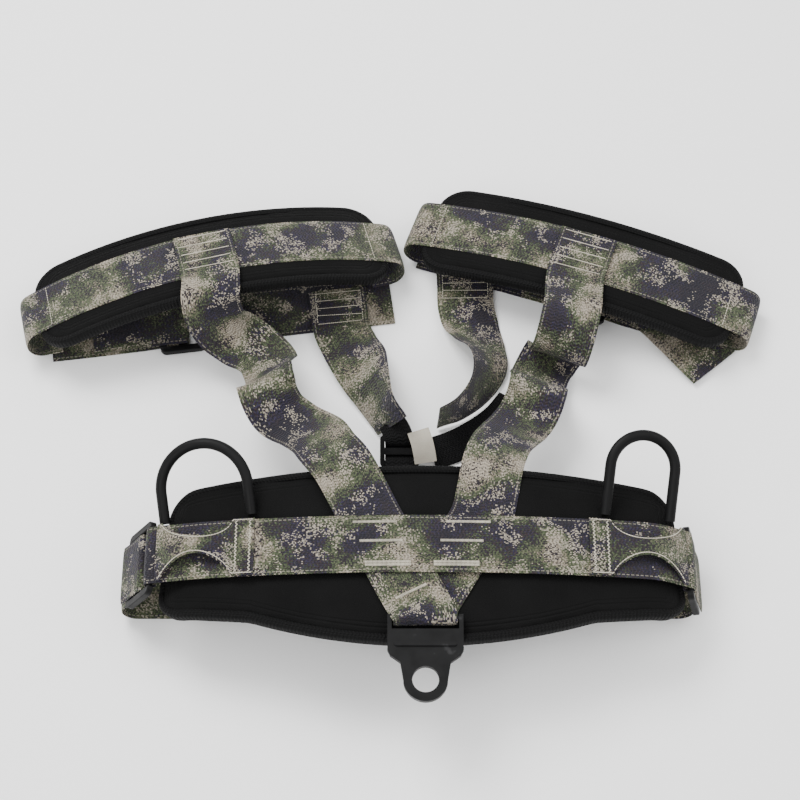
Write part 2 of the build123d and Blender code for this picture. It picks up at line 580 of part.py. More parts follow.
with BuildPart() as riser_right:
    ribbon([
        on_pad(9.5, -33, LOWER_PLY, -28), on_pad(25, -6, LOWER_PLY, -30), on_pad(43, 24, LOWER_PLY, -22),
        on_pad(48, 46, LOWER_PLY, -8), on_pad(52, 67, LOWER_PLY, -10),
        (58, 86, 69, -18, 0), (66, 102, 56, -24, 0), (74, 116, 44, -26, 0), (81, 128, 40, -26, 0),
        (86, 138, 43, -25, 0), (89, 147, 47, -24, 0), (90, 155, 44, -24, 0), (90, 161, 34, -25, 0),
        (90, 167, 22, -26, 0), (92, 175, 12, -26, 0), (95, 184, 8, -25, 0), (99, 192, 8.5, -24, 0),
        (103, 196, 13.5, -23, 0), (105, 194, 20, -22, 0), (106, 189, 26, -22, 0), (107.5, 186, 33, -21, 0),
        (109.5, 188, 41, -20, 0), (112, 194, 49, -18, 0), (115, 205, 55, -17, 0), (118, 220, 54.5, -17.5, 0),
        (119.5, 235, 50, -18, 0), (121, 247.3, 46.9, -18.5, 0),
    ])
finish(riser_right, "riser_right")

# Webbing loop that holds the attachment plate: the two risers are one strap folded here.
BAR_LOOP_INNER = PLATE_BAR_RADIUS + PLATE_LOOP_GAP
PLATE_BAR_Z = PAD_CROWN_HEIGHT + LOWER_PLY + WEB_THICK + BAR_LOOP_INNER
PLATE_LOOP_END = -44.5
with BuildPart() as plate_loop:
    with BuildSketch(Plane.YZ.offset(PLATE_BAR_X)):
        with BuildLine():
            ends = []
            for reach in (BAR_LOOP_INNER, BAR_LOOP_INNER + WEB_THICK):
                lower = Line((PLATE_LOOP_END, PLATE_BAR_Z - reach), (PLATE_BAR_Y, PLATE_BAR_Z - reach))
                bend = ThreePointArc(lower @ 1, (PLATE_BAR_Y - reach, PLATE_BAR_Z),
                                     (PLATE_BAR_Y, PLATE_BAR_Z + reach))
                upper = Line(bend @ 1, (PLATE_LOOP_END, PLATE_BAR_Z + reach - 3.5))
                ends.append((lower @ 0, upper @ 1))
            Line(ends[0][0], ends[1][0])
            Line(ends[0][1], ends[1][1])
        make_face()
    extrude(amount=WEB_WIDTH / 2, both=True)
finish(plate_loop, "plate_loop")

droop = radians(PLATE_DROOP)
plate_plane = Plane((PLATE_BAR_X, PLATE_BAR_Y, PLATE_BAR_Z), x_dir=(-1, 0, 0),
                    z_dir=(0, -sin(droop), cos(droop)))
with BuildPart() as attachment_plate:
    with BuildSketch(plate_plane.offset(-PLATE_THICK / 2)):
        with BuildLine():
            Polyline((-PLATE_WIDTH / 2, -PLATE_BAR_RADIUS), (PLATE_WIDTH / 2, -PLATE_BAR_RADIUS),
                     (PLATE_WIDTH / 2, PLATE_SHOULDER), (PLATE_WIDTH / 2 - 2, PLATE_SHOULDER + 4),
                     (PLATE_EAR_RADIUS + 2, PLATE_SHOULDER + 9), (PLATE_EAR_RADIUS, PLATE_HOLE_REACH),
                     (-PLATE_EAR_RADIUS, PLATE_HOLE_REACH), (-PLATE_EAR_RADIUS - 2, PLATE_SHOULDER + 9),
                     (2 - PLATE_WIDTH / 2, PLATE_SHOULDER + 4), (-PLATE_WIDTH / 2, PLATE_SHOULDER),
                     close=True)
        make_face()
        with Locations((0, PLATE_HOLE_REACH)):
            Circle(PLATE_EAR_RADIUS)
            Circle(PLATE_HOLE_RADIUS, mode=Mode.SUBTRACT)
        with Locations((0, PLATE_SLOT_HEIGHT / 2)):
            Rectangle(PLATE_SLOT_WIDTH, PLATE_SLOT_HEIGHT + 2 * PLATE_BAR_RADIUS, mode=Mode.SUBTRACT)
    extrude(amount=PLATE_THICK)
    with BuildSketch(Plane(plate_plane.origin, x_dir=plate_plane.y_dir, z_dir=(1, 0, 0))):
        Circle(PLATE_BAR_RADIUS)
    extrude(amount=PLATE_WIDTH / 2, both=True)
    with BuildSketch(plate_plane.offset(PLATE_THICK / 2)):
        with Locations((0, PLATE_SHOULDER - 4)):
            SlotOverall(PLATE_WIDTH - 10, 3)
    extrude(amount=1.2)
finish(attachment_plate, "attachment_plate")
hole_centre = plate_plane.from_local_coords((0, PLATE_HOLE_REACH, 0))


# ---------------------------------------------------------------- leg bands
def leg_shape(leg):
    """Half length to the fold's centre, crown radius and half crown angle of the band."""
    half = leg["length"] / 2 - leg["fold"]
    rise = leg["height"] - 2 * leg["fold"]
    centre_gap = (half**2 + rise**2) / (2 * rise)
    return half, centre_gap + leg["fold"], degrees(asin(half / centre_gap))


def leg_plane(leg):
    """Plane of the padded half: local x along the band, local y across it."""
    along, across = leg_direction(leg["turn"])
    lean = radians(leg["lean"])
    normal = Vector(0, 0, 1) * cos(lean) + across * sin(lean)
    return Plane(Vector(*leg["centre"], leg["lift"]), x_dir=along, z_dir=normal)


def leg_section_plane(leg):
    """Upright section of the padded half: local x along the band, local y up."""
    plane = leg_plane(leg)
    return Plane(plane.origin, x_dir=plane.x_dir, z_dir=plane.y_dir * -1)


def leg_layer(leg, top, bottom):
    """Layer of the band's crown between two depths under the webbing's outer face."""
    half, crown_radius, crown_angle = leg_shape(leg)
    with BuildSketch(leg_section_plane(leg)) as section:
        with BuildLine():
            centre = (0, leg["height"] - crown_radius)
            outer = CenterArc(centre, crown_radius - top, 90 - crown_angle, 2 * crown_angle)
            inner = CenterArc(centre, crown_radius - bottom, 90 - crown_angle, 2 * crown_angle)
            Line(outer @ 0, inner @ 0)
            Line(outer @ 1, inner @ 1)
        make_face()
    extrude(section.sketch, amount=LEG_PAD_WIDTH, both=True)


def leg_band_lines(leg, depth):
    """Crown, folds and turned-in ends of the band's webbing at one depth; gives both ends."""
    half, crown_radius, crown_angle = leg_shape(leg)
    fold_radius = leg["fold"] - depth
    left = Line((LEG_TONGUE - half, depth), (-half, depth))
    CenterArc((-half, leg["fold"]), fold_radius, 270, crown_angle - 180)
    CenterArc((0, leg["height"] - crown_radius), crown_radius - depth, 90 + crown_angle,
              -2 * crown_angle)
    CenterArc((half, leg["fold"]), fold_radius, 90 - crown_angle, crown_angle - 180)
    right = Line((half, depth), (half - LEG_TONGUE, depth))
    return left @ 0, right @ 1


def leg_pad_length(leg):
    """Length in plan of a leg pad: the crown less a margin at each end."""
    _, crown_radius, crown_angle = leg_shape(leg)
    margin_angle = degrees(LEG_PAD_END_MARGIN / crown_radius)
    return 2 * crown_radius * sin(radians(crown_angle - margin_angle))


cover_top = WEB_THICK + LEG_PAD_GAP
foam_top = cover_top + LEG_COVER_THICK
lining_top = foam_top + LEG_FOAM_THICK
lining_end = lining_top + LEG_LINING_THICK
leg_layers = {"cover": (cover_top, foam_top), "foam": (foam_top, lining_top),
              "lining": (lining_top, lining_end)}

for side in SIDES:
    leg = LEGS[side]
    half, crown_radius, crown_angle = leg_shape(leg)
    pad_length = leg_pad_length(leg)
    section = leg_section_plane(leg)
    for name, (top, bottom) in leg_layers.items():
        with BuildPart() as layer:
            leg_layer(leg, top, bottom)
            with BuildSketch(leg_plane(leg)):
                RectangleRounded(pad_length - 2 * BINDING_WIDTH, LEG_PAD_WIDTH - 2 * BINDING_WIDTH,
                                 LEG_PAD_CORNER - BINDING_WIDTH)
            extrude(amount=2 * leg["height"], mode=Mode.INTERSECT)
        finish(layer, f"leg_pad_{side}_{name}")
    with BuildPart() as binding:
        leg_layer(leg, cover_top - BINDING_PROUD, lining_end + BINDING_PROUD)
        with BuildSketch(leg_plane(leg)):
            RectangleRounded(pad_length, LEG_PAD_WIDTH, LEG_PAD_CORNER)
            RectangleRounded(pad_length - 2 * BINDING_WIDTH, LEG_PAD_WIDTH - 2 * BINDING_WIDTH,
                             LEG_PAD_CORNER - BINDING_WIDTH, mode=Mode.SUBTRACT)
        extrude(amount=2 * leg["height"], mode=Mode.INTERSECT)
    finish(binding, f"leg_pad_{side}_binding")

    with BuildPart() as leg_webbing:
        with BuildSketch(section):
            with BuildLine():
                outer_start, outer_end = leg_band_lines(leg, 0)
                inner_start, inner_end = leg_band_lines(leg, WEB_THICK)
                Line(outer_start, inner_start)
                Line(outer_end, inner_end)
            make_face()
        extrude(amount=WEB_WIDTH / 2, both=True)
    finish(leg_webbing, f"leg_webbing_{side}")

    with BuildPart() as riser_tab:
        leg_layer(leg, -PLY_GAP - WEB_THICK, -PLY_GAP)
        with BuildSketch(leg_plane(leg)):
            with Locations((leg["riser_at"], -1.5)):
                Rectangle(WEB_WIDTH, TACK_TAB_LENGTH)
        extrude(amount=2 * leg["height"], mode=Mode.INTERSECT)
    finish(riser_tab, f"riser_tab_{side}")

    # Lower straps on the floor: a short one sewn round the fixed bar, and a long one
    # round the sliding bar with its tail on top.
    outward = leg["outward"]
    adjuster_plane = leg_adjuster_plane(leg)
    strap_section = Plane(adjuster_plane.origin, x_dir=adjuster_plane.x_dir, z_dir=adjuster_plane.y_dir * -1)
    with BuildPart() as short_strap:
        with BuildSketch(strap_section):
            with BuildLine():
                ends = []
                for reach in (FIXED_LOOP_INNER, FIXED_LOOP_INNER + WEB_THICK):
                    bottom = Line((-half - leg["adjuster_at"], -reach), (FIXED_BAR_X, -reach))
                    bend = ThreePointArc(bottom @ 1, (FIXED_BAR_X + reach, 0), (FIXED_BAR_X, reach))
                    top = Line(bend @ 1, (FIXED_BAR_X - 34, reach))
                    ends.append((bottom @ 0, top @ 1))
                Line(ends[0][0], ends[1][0])
                Line(ends[0][1], ends[1][1])
            make_face()
        extrude(amount=WEB_WIDTH / 2, both=True)
    finish(short_strap, f"leg_strap_{side}_short")

    with BuildPart() as long_strap:
        with BuildSketch(strap_section):
            with BuildLine():
                ends = []
                for reach in (SLIDE_LOOP_INNER, SLIDE_LOOP_INNER + WEB_THICK):
                    bottom = Line((half - 6 - leg["adjuster_at"], -reach), (SLIDE_LOOP_X, -reach))
                    bend = ThreePointArc(bottom @ 1, (SLIDE_LOOP_X - reach, 0), (SLIDE_LOOP_X, reach))
                    top = Line(bend @ 1, (FRAME_LENGTH / 2 + 8, reach))
                    ends.append((bottom @ 0, top @ 1))
                Line(ends[0][0], ends[1][0])
                Line(ends[0][1], ends[1][1])
            make_face()
        extrude(amount=WEB_WIDTH / 2, both=True)
        with BuildSketch(adjuster_plane.offset(SLIDE_LOOP_INNER)):
            with Locations(Location((FRAME_LENGTH / 2 + 8, 0, 0), (0, 0, outward * leg["tail_turn"]))):
                Rectangle(leg["tail"], WEB_WIDTH, align=(Align.MIN, Align.CENTER))
                Circle(WEB_WIDTH / 2)
        extrude(amount=WEB_THICK)
    finish(long_strap, f"leg_strap_{side}_long")

# ---------------------------------------------------------------- front straps
FRONT_TAB = {"left": (-66.0, 247.0, 10.0), "right": (36.0, 270.0, -14.0)}
for side, (x, y, turn) in FRONT_TAB.items():
    with BuildPart() as front_tab:
        floor_place = Plane((x, y, 3 * PLY_GAP + 2 * WEB_THICK), x_dir=leg_direction(turn)[0],
                            z_dir=(0, 0, 1))
        with BuildSketch(floor_place):
            Rectangle(WEB_WIDTH, 34)
        extrude(amount=WEB_THICK)
    finish(front_tab, f"front_tab_{side}")

with BuildPart() as front_strap_left:
    ribbon([
        (-62, 227, 5.2, 14, 0), (-55, 209, 7, 16, 4), (-47, 190, 14, 18, 22), (-39, 168, 21, 22, 46),
        (-32, 148, 24, 26, 62), (-27, 136, 24.5, 28, 70),
    ])
finish(front_strap_left, "front_strap_left")

with BuildPart() as front_strap_right:
    ribbon([
        (37, 247, 5.2, -12, 0), (41, 229, 6, -8, -5), (47, 211, 12, -4, -22), (52, 193, 19, 2, -45),
        (50, 174, 23, 12, -62), (42, 156, 24.5, 26, -72), (29, 142, 24.5, 44, -76), (14, 134, 24, 62, -76),
    ])
finish(front_strap_right, "front_strap_right")

slider_plane = Plane(SLIDER_PLACE, x_dir=(1, 0, 0),
                     z_dir=(0, -sin(radians(SLIDER_LEAN)), cos(radians(SLIDER_LEAN))))
length, width, thick = SLIDER_SIZE
with BuildPart() as front_slider:
    with BuildSketch(slider_plane):
        RectangleRounded(length, width, 3)
        with Locations((0, 5), (0, -5)):
            Rectangle(length - 7, 5, mode=Mode.SUBTRACT)
    extrude(amount=thick)
finish(front_slider, "front_slider")

with BuildPart() as link_strap:
    ribbon([
        (-15, 99, 2.4, 4, 0), (-16, 89, 1.4, 4, 0), (-18, 78, 1.2, 4, 0),
    ], width=LINK_WIDTH, thick=1.6)
finish(link_strap, "link_strap")

with BuildPart() as cross_strap:
    ribbon([
        (9, 112, 6, 80, 35), (24, 118, 7, 104, 30), (42, 128, 8, 122, 20), (60, 143, 8, 134, 10),
        (72, 160, 7, 142, 0),
    ], width=LINK_WIDTH, thick=1.6)
finish(cross_strap, "cross_strap")

with BuildPart() as care_label:
    with BuildSketch(Plane((2, 117, 19), x_dir=(1, 0.1, 0), z_dir=(0, -0.8, 0.6))):
        Rectangle(LABEL_SIZE[0], LABEL_SIZE[1])
    extrude(amount=LABEL_SIZE[2])
finish(care_label, "care_label")
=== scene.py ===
"""Padded sit harness laid out flat: webbing, pads, stitching and hardware built round the CAD frame.

Run it as it stands to build the whole scene, or register it as an add-on and use the panel in
the sidebar. Lengths in the geometry code are millimetres until mesh_piece() turns them to metres.
"""
import math

import bpy
import numpy as np
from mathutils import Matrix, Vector


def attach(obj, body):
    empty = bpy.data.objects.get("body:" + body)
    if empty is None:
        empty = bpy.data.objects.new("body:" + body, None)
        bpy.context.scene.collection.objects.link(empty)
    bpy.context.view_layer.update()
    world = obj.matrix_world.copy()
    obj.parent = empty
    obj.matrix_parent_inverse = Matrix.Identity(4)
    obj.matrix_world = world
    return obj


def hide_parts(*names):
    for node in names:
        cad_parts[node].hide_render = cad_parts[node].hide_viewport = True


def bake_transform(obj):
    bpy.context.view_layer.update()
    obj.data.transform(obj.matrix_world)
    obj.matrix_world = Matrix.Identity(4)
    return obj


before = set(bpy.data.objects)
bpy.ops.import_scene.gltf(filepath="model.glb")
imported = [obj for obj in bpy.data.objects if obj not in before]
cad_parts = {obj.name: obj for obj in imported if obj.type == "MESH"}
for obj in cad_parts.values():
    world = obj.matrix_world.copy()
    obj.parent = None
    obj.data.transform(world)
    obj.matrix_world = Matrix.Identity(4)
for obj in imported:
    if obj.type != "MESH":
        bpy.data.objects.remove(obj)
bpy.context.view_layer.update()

bl_info = {
    "name": "Sit harness",
    "version": (1, 0, 0),
    "blender": (4, 5, 0),
    "location": "View3D > Sidebar > Harness",
    "description": "Builds the padded sit harness round its CAD frame",
    "category": "Object",
}

# ---------------------------------------------------------------- sizes shared with the CAD, mm
WEB = 45.0
THICK = 1.8
GAP = 0.4
CROWN_HEIGHT, CROWN_RADIUS, CROWN_HALF_SPAN, END_RADIUS = 75.0, 1100.0, 158.0, 50.0
PAD_THICK = 10.5
LOWER = 0.8
UPPER = LOWER + THICK + GAP
BELT = UPPER + THICK + GAP
LOOP = BELT + THICK + GAP
BELT_SLOPE = {"left": 12.0, "right": 30.0}
BELT_REACH = {"left": 34.0, "right": 18.0}
ADJUSTER_SLOPE = {"left": 58.0, "right": 76.0}
FRAME_LENGTH = 36.0
BAR_RADIUS = 2.25
FIXED_INNER = BAR_RADIUS + 0.3
SLIDE_INNER = 1.5
FIXED_X = BAR_RADIUS - FRAME_LENGTH / 2
SLIDE_X = -2.4
FLOOR_TURN = 12.0
BUCKLE_BARS = {"left": -29.0, "right": 33.6}
BUCKLE_BAR_Z = 3.6
BUCKLE_TAILS = {"left": 20.0, "right": 32.0}
SIGN = {"left": -1.0, "right": 1.0}
LOOP_START = 119.0
LOOP_SCOOP = (26.0, 15.5, 161.0)  # half chord, depth, distance of its middle
LEGS = {
    "left": dict(centre=(-163.5, 252.0), turn=13.8, lean=12.0, length=304.0, height=54.0,
                 fold=13.0, lift=6.9, riser_at=-1.0, strap_shift=-14.0, strap_turn=7.5,
                 outward=-1, adjuster_at=30.0, tail_turn=0.0, tail=44.0),
    "right": dict(centre=(128.5, 269.0), turn=-18.5, lean=4.0, length=285.0, height=40.0,
                  fold=12.0, lift=3.9, riser_at=-1.0, strap_shift=-2.0, strap_turn=-18.5,
                  outward=1, adjuster_at=10.0, tail_turn=-31.0, tail=96.0),
}
LEG_PAD = (84.0, 22.0, 8.2)  # width, corner radius, thickness
TURNED_IN = 14.0  # flat end of a leg band under its fold
PLATE_BAR_Y, PLATE_BAR_RADIUS = -58.0, 3.0
WAIST_REACH, WAIST_CORNER = 187.0, 18.0
WAIST_LOW, WAIST_TOP = -73.0, 66.0  # edges at the middle
WAIST_BEND = 120.0  # reach at which the -Y edge turns straight
EDGE_CURVE = 7.0  # pads round off over this distance from their edge
SEAMS = (0.0095, 0.0125)  # sewn grooves' distances from a pad's edge, m
BINDING_HALF, BINDING_INSET = 3.4, 2.6
FLOOR_Z, FLOOR_HALF = -0.0004, 6.0  # m
RISER_TACKS = (2.5, 11.5, 20.5, 29.0, 37.0)  # rows of stitches, from the riser's end
AHEAD_TACKS = (3.0, 10, 17, 24, 31)

CROWN_CENTRE = CROWN_HEIGHT - CROWN_RADIUS
CROWN_ANGLE = math.asin(CROWN_HALF_SPAN / CROWN_RADIUS)
END_X = (CROWN_RADIUS - END_RADIUS) * math.sin(CROWN_ANGLE)
END_Z = CROWN_CENTRE + (CROWN_RADIUS - END_RADIUS) * math.cos(CROWN_ANGLE)

PATHS = {}  # strap name -> (centre line, across, normal, length so far), for the stitching
MATERIALS = {}


# ---------------------------------------------------------------- curves
def unit(vectors):
    """Each row scaled to length one."""
    return vectors / np.maximum(np.linalg.norm(vectors, axis=-1, keepdims=True), 1e-9)


def arc(centre, radius, start, stop):
    """Points of a circle in a plane, from one angle to another in degrees, about 1.5 mm apart."""
    count = max(int(abs(math.radians(stop - start)) * radius / 1.5), 8)
    angle = np.radians(np.linspace(start, stop, count))
    return np.stack([centre[0] + radius * np.cos(angle), centre[1] + radius * np.sin(angle)], axis=1)


def run_of(points):
    """Length along a polyline at each of its points, from zero."""
    return np.concatenate(([0.0], np.cumsum(np.linalg.norm(np.diff(points, axis=0), axis=1))))


def sampled(rows, run, at):
    """Rows of values known at the lengths run, interpolated to other lengths."""
    return np.stack([np.interp(at, run, column) for column in rows.T], axis=1)


def resample(points, step=2.0):
    """Polyline with its points spread evenly along it, about one step apart."""
    points = np.asarray(points, float)
    keep = np.concatenate(([True], np.linalg.norm(np.diff(points, axis=0), axis=1) > 1e-6))
    points = points[keep]
    run = run_of(points)
    return sampled(points, run, np.linspace(0.0, run[-1], max(int(run[-1] / step), 6) + 1))


def spline(stations, step=2.0):
    """Smooth curve through stations: cubic Hermite spans whose tangents are central
    differences over the chord length. Extra columns are carried along."""
    p = np.asarray(stations, float)
    t = run_of(p[:, :3])
    slope = np.gradient(p, t, axis=0)
    s = np.linspace(0.0, t[-1], max(int(t[-1] / step), 6) + 1)
    i = np.clip(np.searchsorted(t, s, side="right") - 1, 0, len(t) - 2)
    h = (t[i + 1] - t[i])[:, None]
    u = (s - t[i])[:, None] / h
    return ((2 * u**3 - 3 * u**2 + 1) * p[i] + (u**3 - 2 * u**2 + u) * h * slope[i]
            + (3 * u**2 - 2 * u**3) * p[i + 1] + (u**3 - u**2) * h * slope[i + 1])


def turned(stations, step=2.0):
    """Centre line and width directions from stations (x, y, z, turn, tilt) in mm and degrees."""
    path = spline(stations, step)
    turn, tilt = np.radians(path[:, 3]), np.radians(path[:, 4])
    across = np.stack([np.cos(tilt) * np.cos(turn), np.cos(tilt) * np.sin(turn), np.sin(tilt)], axis=1)
    return path[:, :3], across


# ---------------------------------------------------------------- meshes
def mesh_piece(name, verts, faces, material, uv=None, sharp=50.0, attributes=None):
    """Object at the origin from vertices in mm, smooth shaded, with sharp edges above an angle."""
    mesh = bpy.data.meshes.new(name)
    mesh.from_pydata((np.asarray(verts) * 0.001).tolist(), [], [list(f) for f in faces])
    if uv is not None:
        layer = mesh.uv_layers.new(name="strap")
        index = np.empty(len(mesh.loops), dtype=np.int32)
        mesh.loops.foreach_get("vertex_index", index)
        layer.data.foreach_set("uv", (np.asarray(uv)[index] * 0.001).ravel())
    for key, values in (attributes or {}).items():
        mesh.attributes.new(key, "FLOAT", "POINT").data.foreach_set("value", values)
    mesh.polygons.foreach_set("use_smooth", np.ones(len(mesh.polygons), dtype=bool))
    mesh.set_sharp_from_angle(angle=math.radians(sharp))
    mesh.materials.append(MATERIALS[material])
    piece = bpy.data.objects.new(name, mesh)
    bpy.context.scene.collection.objects.link(piece)
    return piece


def lofted(rings, closed, material, name, uv=None, sharp=50.0):
    """Skin over rings of points, an array (ring, point, xyz). Each ring runs clockwise seen
    from the next one. Open lofts get an end cap at each end."""
    count, around = rings.shape[:2]
    index = np.arange(count * around).reshape(count, around)
    after = np.roll(index, -1, axis=0) if closed else index[1:]
    before = index if closed else index[:-1]
    quads = np.stack([before, after, np.roll(after, -1, axis=1), np.roll(before, -1, axis=1)], axis=-1)
    faces = quads.reshape(-1, 4).tolist()
    if not closed:
        faces += [index[0].tolist(), index[-1][::-1].tolist()]
    return mesh_piece(name, rings.reshape(-1, 3), faces, material, uv=uv, sharp=sharp)


def strap(name, centre, across, material="camo", slot="camo_webbing", width=WEB, thick=THICK,
          cup=0.0, ripple=0.0, columns=13):
    """Woven strap carried along a centre line. Its section is a flat oval: at u from -1 to 1
    across, half the thickness is 0.3 + 0.7 (1 - |u|^8) of the full half thickness. It is cupped
    by cup u^2, and its edges rise and fall by ripple, a slow wave of the length."""
    centre = np.asarray(centre, float)
    along = unit(np.gradient(centre, axis=0))
    across = np.broadcast_to(np.asarray(across, float), centre.shape)
    across = unit(across - along * np.sum(across * along, axis=1, keepdims=True))
    normal = np.cross(along, across)
    run = run_of(centre)
    PATHS[name] = (centre, across, normal, run)
    width = np.broadcast_to(np.asarray(width, float), run.shape)
    u = np.linspace(-1.0, 1.0, columns)
    around = np.concatenate((u, u[::-1]))
    side = np.concatenate((np.ones(columns), -np.ones(columns)))
    rise = side * thick / 2 * (0.3 + 0.7 * (1 - np.abs(around) ** 8))
    wave = ripple * np.sin(run / 19.0 + len(name))[:, None] * around**3 * np.abs(around)
    rise = rise + cup * around**2 + wave
    out = around * width[:, None] / 2
    rings = centre[:, None] + across[:, None] * out[..., None] + normal[:, None] * rise[..., None]
    uv = np.stack([out, np.broadcast_to(run[:, None], out.shape)], axis=-1).reshape(-1, 2)
    return lofted(rings, False, material, name, uv=uv, sharp=60.0)


def tube(name, centre, outward, normal, half_width, half_height, material, power=2.6, around=16):
    """Closed rolled edge: a superellipse carried round a closed line."""
    angle = np.linspace(0.0, 2 * np.pi, around, endpoint=False)
    wide = np.sign(np.cos(angle)) * np.abs(np.cos(angle)) ** (2 / power) * half_width
    tall = np.sign(np.sin(angle)) * np.abs(np.sin(angle)) ** (2 / power) * half_height
    rings = centre[:, None] + outward[:, None] * wide[:, None] + normal[:, None] * tall[:, None]
    run = run_of(centre)
    uv = np.stack(np.broadcast_arrays(wide[None, :], run[:, None]), axis=-1).reshape(-1, 2)
    return lofted(rings, True, material, name, uv=uv)


def threads(name, places, directions, ups, length=2.6, radius=0.38, material="thread", slot=None):
    """Many stitches in one mesh. Each is a capsule of five hexagonal rings whose middle
    arches above its ends by a third of a radius."""
    places, directions, ups = (np.asarray(a, float) for a in (places, directions, ups))
    directions = unit(directions)
    ups = unit(ups - directions * np.sum(ups * directions, axis=1, keepdims=True))
    aside = np.cross(directions, ups)
    s = np.array([-0.5, -0.42, 0.0, 0.42, 0.5])
    fat = np.array([0.15, 0.75, 1.0, 0.75, 0.15]) * radius
    lift = radius * 0.33 * (1 - (2 * s) ** 2)
    angle = np.linspace(0, 2 * np.pi, 6, endpoint=False)
    ring = (directions[:, None, None] * (s * length)[None, :, None, None]
            + ups[:, None, None] * (lift[:, None] + fat[:, None] * np.sin(angle))[None, ..., None]
            + aside[:, None, None] * (fat[:, None] * np.cos(angle))[None, ..., None])
    verts = (places[:, None, None] + ring).reshape(-1, 3)
    base = np.arange(30).reshape(5, 6)
    low, high = base[:-1], base[1:]
    quads = np.stack([low, np.roll(low, -1, axis=1), np.roll(high, -1, axis=1), high], axis=-1)
    quads = quads.reshape(-1, 4)
    faces = (quads[None] + (np.arange(len(places)) * 30)[:, None, None]).reshape(-1, 4)
    return mesh_piece(name, verts, faces.tolist(), material, sharp=80.0)


def on_strap(name, runs, offsets, face=1.0):
    """Points on one face of a strap, 1 or -1, at lengths along it and offsets across it, with
    the directions along, across and out there."""
    centre, across, normal, run = PATHS[name]
    at = np.clip(np.asarray(runs, float), 0, run[-1])
    middle, side, out = (sampled(rows, run, at) for rows in (centre, across, normal))
    side, out = unit(side), unit(out)
    offsets = np.asarray(offsets, float)[:, None]
    places = middle + side * offsets + out * face * (THICK / 2 + 0.05)
    return places, np.cross(side, out), side, out * face


def rows_across(name, starts, half=19.0, pitch=3.0, lean=0.0, face=1.0):
    """Rows of stitches across a strap at the given lengths along it."""
    over = np.arange(-half, half + 0.01, pitch)
    runs = np.repeat(np.asarray(starts, float), len(over))
    places, along, side, out = on_strap(name, runs, np.tile(over, len(starts)), face)
    slant = np.where(np.arange(len(runs)) % 2 == 0, lean, -lean)[:, None]
    return places, side + along * slant, out


def rows_along(name, offsets, start, stop, pitch):
    """Rows of stitches along a strap, at the given offsets across it."""
    runs = np.arange(start, stop, pitch)
    places, along, _, out = on_strap(name, np.tile(runs, len(offsets)), np.repeat(offsets, len(runs)))
    return places, along, out


def joined(*rows):
    """Several rows of stitches as one."""
    return [np.concatenate(parts) for parts in zip(*rows)]


# ---------------------------------------------------------------- routes, mm
def arch(ply, start=66.0, stop=66.0):
    """Centre line of webbing on the waist arch, from the left end to the right, in (x, z)."""
    ply += THICK / 2
    crown = math.degrees(CROWN_ANGLE)
    return np.concatenate((
        arc((-END_X, END_Z), END_RADIUS + ply, 90 + start, 90 + crown),
        arc((0, CROWN_CENTRE), CROWN_RADIUS + ply, 90 + crown, 90 - crown),
        arc((END_X, END_Z), END_RADIUS + ply, 90 - crown, 90 - stop)))


def arch_z(x, ply):
    """Height of the middle of a ply of webbing over a point x of the crown."""
    return CROWN_CENTRE + math.sqrt((CROWN_RADIUS + ply + THICK / 2) ** 2 - x * x)


def downhill(slope):
    """Directions down a slope given in degrees and square to it, in the side plane."""
    slope = math.radians(slope)
    return np.array([math.cos(slope), -math.sin(slope)]), np.array([math.sin(slope), math.cos(slope)])


def bar_frame(side):
    """Origin and directions of the belt's bar, in the side plane (outwards, up)."""
    along, normal = downhill(BELT_SLOPE[side])
    bend = np.array([END_X, END_Z]) + (END_RADIUS + BELT) * normal
    return bend + BELT_REACH[side] * along - FIXED_INNER * normal, along, normal


def adjuster_frame(side):
    """Middle and directions of a side adjuster, in the side plane."""
    along, normal = downhill(ADJUSTER_SLOPE[side])
    return bar_frame(side)[0] - FIXED_X * along, along, normal


def placed(place, points):
    """Points of a local frame (middle, along, normal) as points of the plane round it."""
    points = np.asarray(points, float)
    return place[0] + points[:, :1] * place[1] + points[:, 1:] * place[2]


def upright(points, side="right", y=0.0):
    """Points (outwards, up) of the side plane as world points."""
    return np.stack([SIGN[side] * points[:, 0], np.full(len(points), y), points[:, 1]], axis=1)


def belt_route():
    """Belt: round the left bar, over the arch, round the right bar."""
    half = FIXED_INNER + THICK / 2
    ends = {}
    for side in SIGN:
        turn = np.concatenate(([[-4.0, -half + 0.4]], arc((0, 0), half, -90, 90),
                               [[-BELT_REACH[side], half]]))
        ends[side] = placed(bar_frame(side), turn)
    middle = arch(BELT, BELT_SLOPE["left"], BELT_SLOPE["right"])
    left = ends["left"] * (-1, 1)
    return upright(resample(np.concatenate((left, middle, ends["right"][::-1]))))


def front_route(side):
    """Front strap: tail, round the sliding bar, down, along the floor, round the buckle's bar."""
    place = adjuster_frame(side)
    middle, along, normal = place
    half = SLIDE_INNER + THICK / 2
    straight = (middle[1] - SLIDE_INNER * normal[1] - FLOOR_TURN * (1 + normal[1])) / -along[1]
    centre = placed(place, [[straight, -SLIDE_INNER - FLOOR_TURN]])[0]
    slope = ADJUSTER_SLOPE[side]
    turn = BUCKLE_BAR_Z - THICK / 2
    buckle = SIGN[side] * BUCKLE_BARS[side]
    points = np.concatenate((
        placed(place, [[24.0, half + 0.5], [14.0, half]]),
        placed(place, arc((SLIDE_X, 0), half, 90, 270)),
        arc(centre, FLOOR_TURN - THICK / 2, 90 - slope, -90),
        [[buckle + 3.0, THICK / 2]],
        arc((buckle, BUCKLE_BAR_Z), turn, 270, 90),
        [[buckle + BUCKLE_TAILS[side], BUCKLE_BAR_Z + turn]]))
    return upright(resample(points), side)


